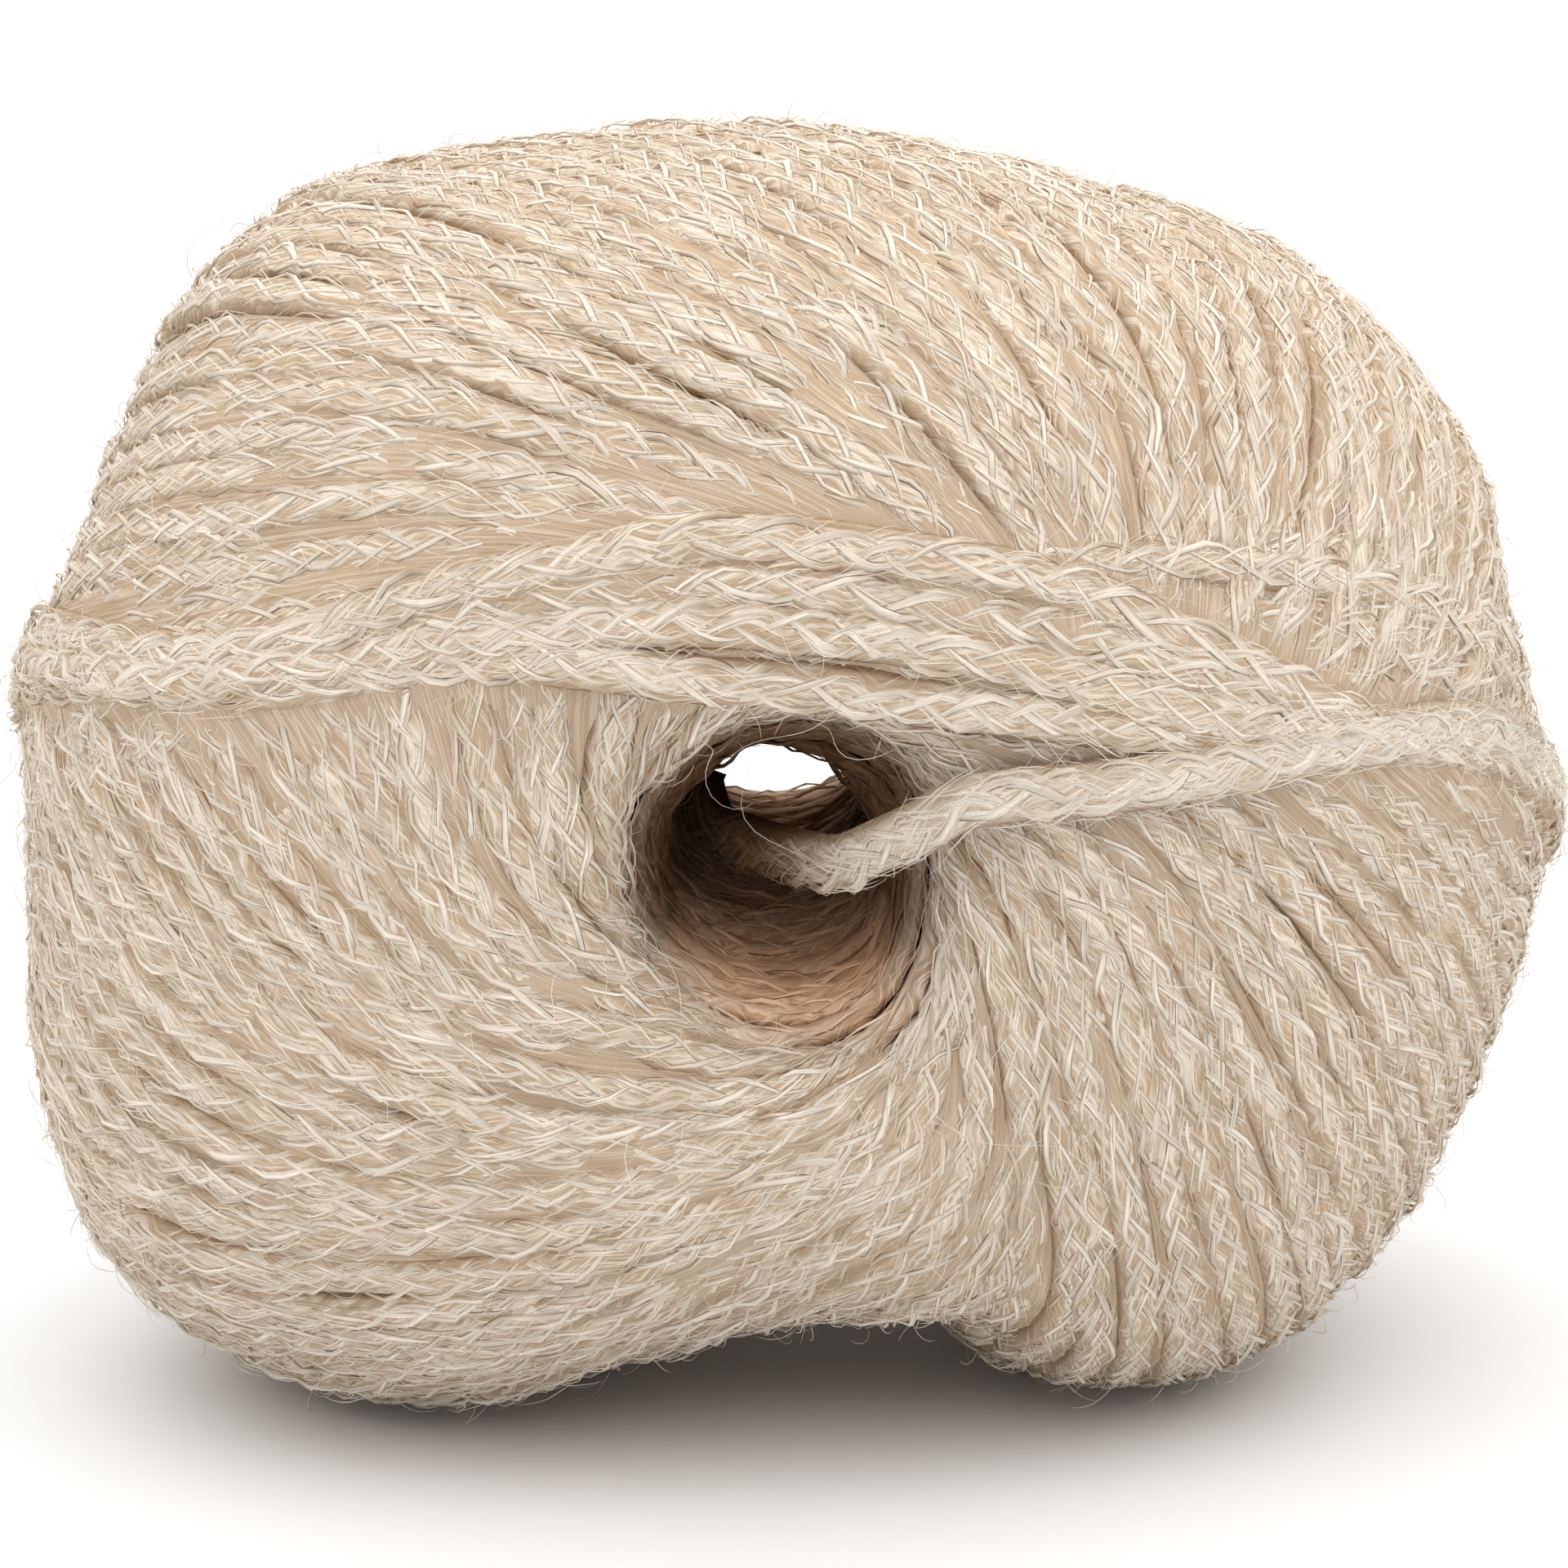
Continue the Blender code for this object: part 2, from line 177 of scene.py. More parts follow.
# %% Camera
CAMERA_AWAY = 0.400
CAMERA_UP = np.radians(11.5)
CAMERA_SIDE = np.radians(-1.0)
CAMERA_ROLL = np.radians(1.0)
FRAME_PIXELS = 1920
PIXELS_PER_METRE = 16100.0
LOOK_PIXEL = (958, 938)
look_at = EYE_AXIS - (0.0, 0.0, 0.2 * MM)
outward = np.array([np.sin(CAMERA_SIDE) * np.cos(CAMERA_UP), -np.cos(CAMERA_SIDE) * np.cos(CAMERA_UP),
                    np.sin(CAMERA_UP)])
right = np.cross(-outward, (0.0, 0.0, 1.0))
right /= np.linalg.norm(right)
upward = np.cross(right, -outward)
rolled_right = right * np.cos(CAMERA_ROLL) - upward * np.sin(CAMERA_ROLL)
rolled_up = upward * np.cos(CAMERA_ROLL) + right * np.sin(CAMERA_ROLL)
camera_data = bpy.data.cameras.new("camera")
camera_data.sensor_width = 36.0
camera_data.lens = PIXELS_PER_METRE * CAMERA_AWAY / FRAME_PIXELS * camera_data.sensor_width
camera_data.shift_x = (FRAME_PIXELS / 2 - LOOK_PIXEL[0]) / FRAME_PIXELS
camera_data.shift_y = (LOOK_PIXEL[1] - FRAME_PIXELS / 2) / FRAME_PIXELS
camera_data.clip_start = 0.01
camera = add_object("camera", camera_data)
turn = Matrix((rolled_right, rolled_up, outward)).transposed()
camera.matrix_world = Matrix.Translation(Vector(look_at + outward * CAMERA_AWAY)) @ turn.to_4x4()
bpy.context.scene.camera = camera
print("lens %.0f mm" % camera_data.lens)

# %% [markdown]
# ## The yarn's material
#
# Brushed hair yarn looks pale on top, where loose fibres catch the light, and warmer and darker in
# the dips between its stitches. Here that light and shade is painted: the colour runs from a
# painted shade colour in the dips to the pale colour on top. A picture of wool could be laid on,
# but it would stretch where the strand turns. So the meshes carry three attributes, and noise draws
# the rest. `fibre` is a place along and round a strand in millimetres: noise stretched along its
# first number draws fibres. `depth` is 0 deep in the strand and 1 on top of it, and sets how much
# painted shade a place takes. `bundle` is the way that the bundle faces.

# %% Node helpers


def node(tree, kind, feeds=None, **settings):
    """Add a node, set its properties, and give each input its value or link it to its socket."""
    made = tree.nodes.new(kind)
    for name, value in settings.items():
        setattr(made, name, value)
    for place, value in (feeds or {}).items():
        if isinstance(value, bpy.types.NodeSocket):
            tree.links.new(value, made.inputs[place])
        else:
            made.inputs[place].default_value = value
    return made


def number_node(tree, operation, *values):
    """A Math node."""
    return node(tree, "ShaderNodeMath", dict(enumerate(values)), operation=operation).outputs[0]


def remap(tree, value, low, high, to_low, to_high):
    """Linear map of a value, clamped."""
    return node(tree, "ShaderNodeMapRange", {"Value": value, "From Min": low, "From Max": high,
                                             "To Min": to_low, "To Max": to_high}).outputs["Result"]


def mix_colour(tree, factor, first, second, blend="MIX"):
    """Mix two colours."""
    return node(tree, "ShaderNodeMix", {0: factor, 6: first, 7: second}, data_type="RGBA",
                blend_type=blend).outputs[2]


def stretched_noise(tree, vector, along, round_ply, detail):
    """Noise whose marks are 1/along mm long and 1/round_ply mm wide on a strand."""
    mapping = node(tree, "ShaderNodeMapping", {"Vector": vector, "Scale": (along, round_ply, round_ply)})
    return node(tree, "ShaderNodeTexNoise", {"Vector": mapping.outputs["Vector"], "Scale": 1.0,
                                             "Detail": detail, "Roughness": 0.6}).outputs["Fac"]


def attribute(tree, name):
    """The outputs of an attribute of the mesh."""
    return node(tree, "ShaderNodeAttribute", attribute_name=name).outputs


# %% Fibre pattern
def swaying(tree, fibre, sway, wave, phase):
    """Return the fibre place moved across by sway sin(2 pi s / wave + phase), and that cosine."""
    parts = node(tree, "ShaderNodeSeparateXYZ", {0: fibre}).outputs
    angle = number_node(tree, "MULTIPLY_ADD", parts[0], 2 * np.pi / wave, phase)
    moved = number_node(tree, "MULTIPLY_ADD", number_node(tree, "SINE", angle), sway, parts[1])
    joined = node(tree, "ShaderNodeCombineXYZ", {0: parts[0], 1: moved, 2: parts[2]})
    return joined.outputs[0], number_node(tree, "COSINE", angle)


def fibre_pattern(tree, fibre, sway):
    """Return (wisp, fine, tone): broad stripes, fine stripes, and the tone that the broad ones add.

    With a sway, two sets of fibres snake along the strand in turn over and under each other. The tone is the
    broad stripes' pattern, with painted shade where they lie low and under the others.
    """
    if not sway:
        wisp = stretched_noise(tree, fibre, 0.17, 2.2, 2.0)
        return wisp, stretched_noise(tree, fibre, 0.25, 5.5, 3.0), remap(tree, wisp, 0.38, 0.62, -0.25, 0.25)
    first, over = swaying(tree, fibre, sway, 4.6, 0.0)
    second, _ = swaying(tree, fibre, -sway, 5.2, 0.6)
    lift = number_node(tree, "MULTIPLY", over, 0.06)
    wisp_a = number_node(tree, "ADD", stretched_noise(tree, first, 0.14, 2.5, 2.0), lift)
    wisp_b = number_node(tree, "SUBTRACT", stretched_noise(tree, second, 0.14, 2.5, 2.0), lift)
    wisp = number_node(tree, "MAXIMUM", wisp_a, wisp_b)
    on_top = number_node(tree, "GREATER_THAN", wisp_a, wisp_b)
    fine_a = stretched_noise(tree, first, 0.25, 8.0, 3.0)
    fine_b = stretched_noise(tree, second, 0.25, 8.0, 3.0)
    fine = number_node(tree, "MULTIPLY_ADD", number_node(tree, "SUBTRACT", fine_a, fine_b), on_top, fine_b)
    return wisp, fine, remap(tree, wisp, 0.47, 0.66, -0.45, 0.50)


# %% Painted light and shade inside the eye
# Multipliers of the yarn's colour inside the eye: painted light on the lower wall, painted shade under the
# roof.
EYE_PAINTED_LIGHT, EYE_PAINTED_SHADE = (1.60, 1.22, 0.96, 1.0), (0.34, 0.24, 0.165, 1.0)


def eye_paint_masks(tree):
    """Return (share, low), masks for the painted light and shade: share is 1 well inside the eye, low is 1 on
    its lower wall.
    """
    place = node(tree, "ShaderNodeTexCoord").outputs["Object"]
    parts = node(tree, "ShaderNodeSeparateXYZ", {0: place}).outputs
    away = [number_node(tree, "SUBTRACT", parts[axis], float(EYE_AXIS[axis])) for axis in (0, 2)]
    squares = [number_node(tree, "MULTIPLY", value, value) for value in away]
    radius = number_node(tree, "SQRT", number_node(tree, "ADD", *squares))
    deep = remap(tree, number_node(tree, "ABSOLUTE", parts[1]), 38 * MM, 28 * MM, 0.0, 1.0)
    share = number_node(tree, "MULTIPLY", deep, remap(tree, radius, 17 * MM, 13.5 * MM, 0.0, 1.0))
    return share, remap(tree, away[1], -5.5 * MM, -10.5 * MM, 0.0, 1.0)


# %% The yarn
AS_BUNDLE = 0.65


def yarn_material(name, pale, painted_dip_shade, bump_depth, sway=0.0):
    """Brushed yarn: its depth and its fibres mix the pale colour with the painted shade colour of the dips.

    Inside the eye the colour is multiplied by painted light and shade: brighter and browner on its
    lower wall, where light is caught, and darker under its roof. The shading normal is mixed with the
    bundle's, but not where the face is turned away from it.
    """
    material = bpy.data.materials.new(name)
    material.use_nodes = True
    tree = material.node_tree
    shader = tree.nodes["Principled BSDF"]
    shader.inputs["Roughness"].default_value = 1.0
    shader.inputs["Specular IOR Level"].default_value = 0.05
    fibre, bundle = attribute(tree, "fibre")["Vector"], attribute(tree, "bundle")["Vector"]
    wisp, fine, tone = fibre_pattern(tree, fibre, sway)
    normal = node(tree, "ShaderNodeNewGeometry").outputs["Normal"]
    turned = node(tree, "ShaderNodeVectorMath", {0: normal, 1: bundle}, operation="DOT_PRODUCT")
    turned = turned.outputs["Value"]
    shown = number_node(tree, "ADD", attribute(tree, "depth")["Fac"], tone)
    # Painted shade on the sides of a lock that turn away from its bundle.
    shown = number_node(tree, "ADD", shown, remap(tree, turned, 0.1, 0.85, -0.15, 0.0))
    colour = mix_colour(tree, remap(tree, shown, 0.0, 1.0, 0.0, 1.0), painted_dip_shade, pale)
    patches = stretched_noise(tree, fibre, 0.05, 0.15, 1.0)
    for pattern, *bounds in ((fine, 0.42, 0.60, 0.80, 1.06), (patches, 0.35, 0.65, 0.95, 1.03)):
        colour = mix_colour(tree, 1.0, colour, remap(tree, pattern, *bounds), "MULTIPLY")
    # Painted light and shade inside the eye: brighter and browner on the lower wall, darker under the roof.
    share, painted_light_wall = eye_paint_masks(tree)
    painted_eye_light_shade = mix_colour(tree, 1.0, colour, mix_colour(tree, painted_light_wall, EYE_PAINTED_SHADE, EYE_PAINTED_LIGHT), "MULTIPLY")
    tree.links.new(mix_colour(tree, share, colour, painted_eye_light_shade), shader.inputs["Base Color"])
    height = number_node(tree, "MULTIPLY_ADD", fine, 0.45, wisp)
    bump = node(tree, "ShaderNodeBump", {"Height": height, "Strength": 0.8, "Distance": bump_depth})
    factor = remap(tree, turned, 0.0, 0.5, 0.0, AS_BUNDLE)
    facing = node(tree, "ShaderNodeMix", {0: factor, 4: bump.outputs[0], 5: bundle}, data_type="VECTOR")
    level = node(tree, "ShaderNodeVectorMath", {0: facing.outputs[1]}, operation="NORMALIZE")
    tree.links.new(level.outputs[0], shader.inputs["Normal"])
    return material


# Pale is the yarn's colour on top; the dip colour is painted shade, which the yarn takes in its dips. The
# loose end's pair is the same yarn with its painted light and shade toned for how it is lit: a dimmer pale
# and a paler dip.
PALE, PAINTED_DIP_SHADE = (0.89, 0.795, 0.68, 1.0), (0.53, 0.39, 0.265, 1.0)
LOOSE_PALE, LOOSE_PAINTED_DIP_SHADE = (0.84, 0.765, 0.66, 1.0), (0.56, 0.435, 0.315, 1.0)
YARN = yarn_material("brushed_yarn", PALE, PAINTED_DIP_SHADE, 0.03 * MM)
LOCK_YARN = yarn_material("soft_locks", PALE, PAINTED_DIP_SHADE, 0.35 * MM)
BODY_YARN = yarn_material("strand_body", PALE, PAINTED_DIP_SHADE, 0.35 * MM, 0.45)
LOOSE_YARN = yarn_material("loose_yarn", LOOSE_PALE, LOOSE_PAINTED_DIP_SHADE, 0.03 * MM)
LOOSE_LOCKS = yarn_material("loose_locks", LOOSE_PALE, LOOSE_PAINTED_DIP_SHADE, 0.35 * MM)
LOOSE_BODY = yarn_material("loose_body", LOOSE_PALE, LOOSE_PAINTED_DIP_SHADE, 0.35 * MM, 0.45)
print("materials:", len(bpy.data.materials))

# %% [markdown]
# ## One strand
#
# The strand is a small chain of soft hair, brushed until its stitches are only locks that sweep
# from edge to edge. It is built in layers. A flat, soft body fills its middle. Over it run three
# plies as in a plait: with the angle a = 2 pi s / L + 2 pi k / 3, ply k is at w sin(a) across the
# strand and at h sin(2a) above its middle, so it goes over one neighbour and under the next. Each
# ply is a bundle of soft locks with sunk tips, and thin locks and single fibres lie on those. A
# bundle scatters light as one soft thing, so its parts are shaded partly as the bundle faces.

# %% Small helpers for curves


def wander(way, rng, wavelength, parts=3):
    """Return smooth noise of about unit size along a way: a few sines of random phase."""
    total = np.zeros_like(way)
    for part in range(parts):
        length = wavelength * rng.uniform(0.6, 1.7)
        total += np.sin(2 * np.pi * (way / length + rng.uniform()))
    return total / np.sqrt(parts)


def unit(vectors):
    """Return vectors of length one."""
    return vectors / np.maximum(np.linalg.norm(vectors, axis=-1, keepdims=True), 1e-12)


def resample(points, spacing):
    """Return evenly spaced ways along a polyline, and the fractional indices where they lie."""
    way = length_along(points)
    count = max(int(round(way[-1] / spacing)) + 1, 6)
    even = np.linspace(0.0, way[-1], count)
    return even, np.interp(even, way, np.arange(len(points)))


def at_share(rows, share):
    """Read rows at fractional indices."""
    index = np.arange(len(rows))
    return np.column_stack([np.interp(share, index, rows[:, column]) for column in range(rows.shape[1])])


# %% A piece from whole arrays
FLOOR_GAP, SOFT_FROM = 0.1 * MM, 1.0 * MM
# (a slot name, which nothing here reads; which solid its pieces replace)
BALL, LOOSE = ("wound_yarn", "wound_ball"), ("loose_yarn", "loose_end")


def make_piece(name, points, faces, fibre, depth, ups, sheet, material, stands_for=BALL):
    """Make one mesh piece, make it ride on the root body, and hide the solid that it stands for.

    What lies lower than s above the floor is pressed together, as yarn is where it rests:
    z becomes g + (s - g) exp((z - s) / (s - g)), so it never comes nearer than the gap g.
    """
    corners = faces.shape[1]
    points = points.reshape(-1, 3).copy()
    low = np.minimum((points[:, 2] - SOFT_FROM) / (SOFT_FROM - FLOOR_GAP), 0.0)
    points[:, 2] = np.where(low < 0.0, FLOOR_GAP + (SOFT_FROM - FLOOR_GAP) * np.exp(low), points[:, 2])
    mesh = bpy.data.meshes.new(name)
    mesh.vertices.add(len(points))
    mesh.vertices.foreach_set("co", points.ravel())
    mesh.loops.add(faces.size)
    mesh.loops.foreach_set("vertex_index", faces.ravel())
    mesh.polygons.add(len(faces))
    mesh.polygons.foreach_set("loop_start", np.arange(len(faces)) * corners)
    mesh.polygons.foreach_set("use_smooth", np.ones(len(faces), bool))
    mesh.update(calc_edges=True)
    mesh.attributes.new("fibre", "FLOAT_VECTOR", "POINT").data.foreach_set("vector", fibre.ravel())
    mesh.attributes.new("depth", "FLOAT", "POINT").data.foreach_set("value", depth.ravel())
    mesh.attributes.new("bundle", "FLOAT_VECTOR", "POINT").data.foreach_set("vector", ups.ravel())
    if sheet is not None:
        mesh.uv_layers.new(name="OFBake").data.foreach_set("uv", np.clip(sheet, 0.0, 1.0).ravel())
    mesh.materials.append(material)
    made = add_object(name, mesh)
    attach(made, "root")
    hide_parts(stands_for[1])
    print("%-20s %6d triangles" % (name, len(faces) * (corners - 2)))
    return made


# %% Bodies of the strands
PLAIT_LENGTH = 11.5 * MM
LINE_SAMPLE = 1.2 * MM
BODY_EVERY = 3
BODY_STRIP = 8.0 * MM
# The last number is the painted shade between a body's top and its lower sides.
BODY_WIDE, BODY_HIGH, BODY_PAINTED_SHADE = 0.48, 0.34, 0.25
RING_TURN = np.radians([-20, 52, 128, 200])
SIDES = len(RING_TURN)


class Strands:
    """Collects centrelines, and builds their soft bodies as one mesh."""

    def __init__(self, seed):
        self.rng = np.random.default_rng(seed)
        self.lines = []

    def add(self, centre, up, width, thickness, spacing=LINE_SAMPLE):
        """Keep (centre, up, side, pace, way, width, thickness); pace is the plait's angle."""
        even, share = resample(centre, spacing)
        centre, up = at_share(centre, share), at_share(up, share)
        tangent = unit(np.gradient(centre, axis=0))
        up = unit(up - np.sum(up * tangent, axis=1, keepdims=True) * tangent)
        pace = 2 * np.pi * (even / (PLAIT_LENGTH * self.rng.uniform(0.88, 1.12)) + self.rng.uniform())
        pace = pace + 0.5 * wander(even, self.rng, 24 * MM)
        self.lines.append((centre, up, np.cross(tangent, up), pace[:, None], even, width, thickness))

    def build(self, name, material, stands_for=BALL, tone=0.12):
        """Build the bodies: ring = centre + w cos(b) side + h sin(b) up, joined by quads.

        One quad closes each tip. The bake sheet holds the bodies end to end, in lines.
        """
        rings, fibres, ups, depths, quads, sheet = [], [], [], [], [], []
        sides = np.arange(SIDES)
        after = (sides + 1) % SIDES
        cap = np.array([[0, 1, 2, 3]])
        cos, sin = np.cos(RING_TURN), np.sin(RING_TURN)
        start, total = 0, 0.0
        for number, (centre, up, side, _, even, width, thickness) in enumerate(self.lines):
            pick = np.unique(np.append(np.arange(0, len(centre), BODY_EVERY), len(centre) - 1))
            taper = np.clip(np.minimum(even, even[-1] - even) / (2 * MM), 0.45, 1.0)[pick, None]
            out = (BODY_WIDE * width * taper * cos)[..., None] * side[pick, None]
            rise = (BODY_HIGH * thickness * taper * sin)[..., None] * up[pick, None]
            count = len(pick)
            rings.append((centre[pick, None] + out + rise).reshape(-1, 3))
            ups.append(np.repeat(up[pick], SIDES, axis=0))
            way = np.broadcast_to(even[pick, None] / MM, (count, SIDES))
            fibres.append(np.stack([way + number * 37.0, np.broadcast_to(0.6 * width / MM * cos, way.shape),
                                    np.full_like(way, number * 5.3)], axis=-1).reshape(-1, 3))
            # Painted shade: a body is paler on its top side and darker on its lower sides.
            depths.append(np.tile(tone + BODY_PAINTED_SHADE * sin, count))
            row = start + np.arange(count - 1)[:, None] * SIDES
            quads.append(np.stack([row + sides, row + SIDES + sides, row + SIDES + after, row + after],
                                  axis=-1).reshape(-1, 4))
            quads.append(start + cap)
            quads.append(start + (count - 1) * SIDES + cap[:, ::-1])
            here, low = np.meshgrid(total + even[pick[:-1]], sides, indexing="ij")
            step = BODY_EVERY * even[1]
            sheet.append(np.stack([here, low, here + step, low, here + step, low + 1, here, low + 1],
                                  axis=-1).reshape(-1, 4, 2))
            for end in (total, total + even[-1]):
                sheet.append(np.array([[[end, 0], [end, 1], [end, 2], [end, 3]]], float))
            start += count * SIDES
            total += even[-1] + 3 * step
        sheet = np.concatenate(sheet)
        edge = np.sqrt(total * BODY_STRIP) * 1.03 + 12 * LINE_SAMPLE
        usable = edge - 8 * LINE_SAMPLE
        line = np.floor(sheet[:, :1, 0] / usable)
        sheet = np.stack([(sheet[..., 0] - line * usable) / edge,
                          (line + 0.05 + 0.9 * sheet[..., 1] / SIDES) * BODY_STRIP / edge], axis=-1)
        return make_piece(name, np.concatenate(rings), np.concatenate(quads), np.concatenate(fibres),
                          np.concatenate(depths), np.concatenate(ups), sheet, material, stands_for)


PLY_SWING = 0.58
PLY_RISE = 0.20
PLY_WIDE = 0.42
PLY_HIGH = 0.40
PLY_LEVEL = 0.42


def plait(pace, ply):
    """Return (across, above) of a ply as shares of the half width and the half thickness."""
    angle = pace + 2 * np.pi * ply / 3
    return PLY_SWING * np.sin(angle), PLY_RISE * np.sin(2 * angle)


# %% [markdown]
# ## Locks of hair
#
# A lock is a few hundred hairs that lie together. Hair strands of Blender's own would be lost in
# the export, so a lock is a closed spindle: a point, rings of three, a point. Thousands share one
# mesh, because all of them are worked out at once from the centrelines put end to end.

# %% All centrelines
class Lines:
    """All centrelines end to end, so that thousands of locks can be placed on them at once."""

    def __init__(self, lines):
        self.rows = [np.concatenate([line[part] for line in lines]) for part in range(4)]
        self.count = np.array([len(line[0]) for line in lines])
        self.start = np.concatenate([[0], np.cumsum(self.count)[:-1]])
        self.step = np.array([line[4][1] for line in lines])
        self.length = (self.count - 1) * self.step
        self.width = np.array([line[5] for line in lines])
        self.thickness = np.array([line[6] for line in lines])

    def at(self, which, way):
        """Return (centre, up, side, pace) at a way along the strand numbered which."""
        place = np.clip(way / self.step[which], 0, self.count[which] - 1.001)
        low = place.astype(int)
        part = (place - low)[..., None]
        index = self.start[which] + low
        return [rows[index] * (1 - part) + rows[index + 1] * part for rows in self.rows]

    def spread(self, every, rng):
        """Return (which, order, way): one place every so far along each strand, a bit uneven."""
        counts = np.maximum((self.length / every).astype(int), 1)
        which = np.repeat(np.arange(len(counts)), counts)
        order = np.arange(len(which)) - np.repeat(np.cumsum(counts) - counts, counts)
        return which, order, (order + 0.5 + rng.normal(0, 0.22, len(which))) * every


# %% Spindles
MOST_TRIANGLES = 190000


def one_spindle(stations):
    """Return (faces, places on the bake sheet) of one spindle: point 0, rings of three, last point."""
    last = 3 * (stations - 2) + 1
    pattern, corner = [], []
    u = np.linspace(0.04, 0.96, stations)
    for k in range(3):
        after = (k + 1) % 3
        left, middle, right = k / 3, (k + 0.5) / 3, (k + 1) / 3
        pattern += [[0, 1 + k, 1 + after], [last, last - 3 + after, last - 3 + k]]
        corner += [[(u[0], middle), (u[1], left), (u[1], right)],
                   [(u[-1], middle), (u[-2], right), (u[-2], left)]]
        for row in range(stations - 3):
            a, b = 1 + row * 3 + k, 1 + row * 3 + after
            low, high = u[row + 1], u[row + 2]
            pattern += [[a, b + 3, b], [a, a + 3, b + 3]]
            corner += [[(low, left), (high, right), (low, right)], [(low, left), (high, left), (high, right)]]
    return np.array(pattern), np.array(corner)


def spindles(name, laid, material, rng, stands_for=BALL):
    """Build many closed spindles at once: a point, rings of three, a point.

    Light goes through fine hair, so the spindles cast no shadow: only the bodies below them do.
    """
    path, up, thick, flat, depth = laid
    count, stations = path.shape[:2]
    most = MOST_TRIANGLES // (6 * stations - 12)
    if count > most:
        parts = int(np.ceil(count / most))
        split = [[rows if np.isscalar(rows) else rows[part::parts] for rows in laid]
                 for part in range(parts)]
        return [spindles("%s_%d" % (name, part + 1), split[part], material, rng, stands_for)
                for part in range(parts)]
    tangent = unit(np.gradient(path, axis=1))
    side = unit(np.cross(tangent, up))
    over = np.cross(side, tangent)
    turn = np.radians([-30.0, 90.0, 210.0])
    inner = slice(1, stations - 1)
    ring = (path[:, inner, None]
            + (thick[:, inner, None] * np.cos(turn))[..., None] * side[:, inner, None]
            + (flat * thick[:, inner, None] * np.sin(turn))[..., None] * over[:, inner, None])
    points = np.concatenate([path[:, :1], ring.reshape(count, -1, 3), path[:, -1:]], axis=1)
    each = points.shape[1]
    way = np.concatenate([np.zeros((count, 1)),
                          np.cumsum(np.linalg.norm(np.diff(path, axis=1), axis=2), axis=1)], axis=1) / MM
    shift = rng.uniform(0, 400, (count, 1, 3))
    local = np.stack([np.broadcast_to(way[:, inner, None], ring.shape[:3]),
                      thick[:, inner, None] / MM * np.cos(turn), thick[:, inner, None] / MM * np.sin(turn)],
                     axis=-1).reshape(count, -1, 3)
    tips = np.zeros((count, 2, 3))
    tips[:, 1, 0] = way[:, -1]
    fibre = np.concatenate([tips[:, :1], local, tips[:, 1:]], axis=1) + shift
    tone = np.concatenate([depth[:, :1], np.repeat(depth[:, inner], 3, axis=1), depth[:, -1:]], axis=1)
    pattern, corner = one_spindle(stations)
    faces = (np.arange(count)[:, None, None] * each + pattern[None]).reshape(-1, 3)
    columns = int(np.ceil(np.sqrt(count / 4)))
    lines = int(np.ceil(count / columns))
    cell = np.stack([np.arange(count) % columns, np.arange(count) // columns], axis=-1)
    sheet = (cell[:, None, None] + 0.05 + 0.9 * corner[None]) / np.array([columns, lines])
    ups = np.repeat(up[:, :1] * 0.5 + up[:, -1:] * 0.5, each, axis=1)
    ups[:, 1:-1] = np.repeat(up[:, inner], 3, axis=1)
    made = make_piece(name, points, faces, fibre, tone, ups, sheet, material, stands_for)
    made.visible_shadow = False
    made.visible_diffuse = False
    return made


# %% Locks
# (length mm, stations, thinnest and thickest half width mm, flatness, place between the ply's
# middle and its skin, lift mm, spread of the angle round the ply in degrees, tone: how pale the
# lock is before its painted light and shade)
BUNDLE_LOCKS = (9.0, 8, 0.17, 0.40, 0.50, 0.68, 0.03, 72, 0.53)
THIN_LOCKS = (7.5, 8, 0.03, 0.09, 0.60, 1.08, 0.02, 82, 0.72)
BACK_FROM = 8.0 * MM
BACK_SHARE = 0.45
TIP_SINK = 0.30
# Painted light and shade of the locks: a base, paler where a ply lies over the others, paler on top of the
# ply, darker towards a strand's edges and darker at the sunk tips.
BASE_TONE, OVER_UNDER_PAINTED_SHADE, TOP_PAINTED_LIGHT, EDGE_PAINTED_SHADE, TIP_PAINTED_SHADE = 0.06, 1.2, 0.35, 0.75, 0.3


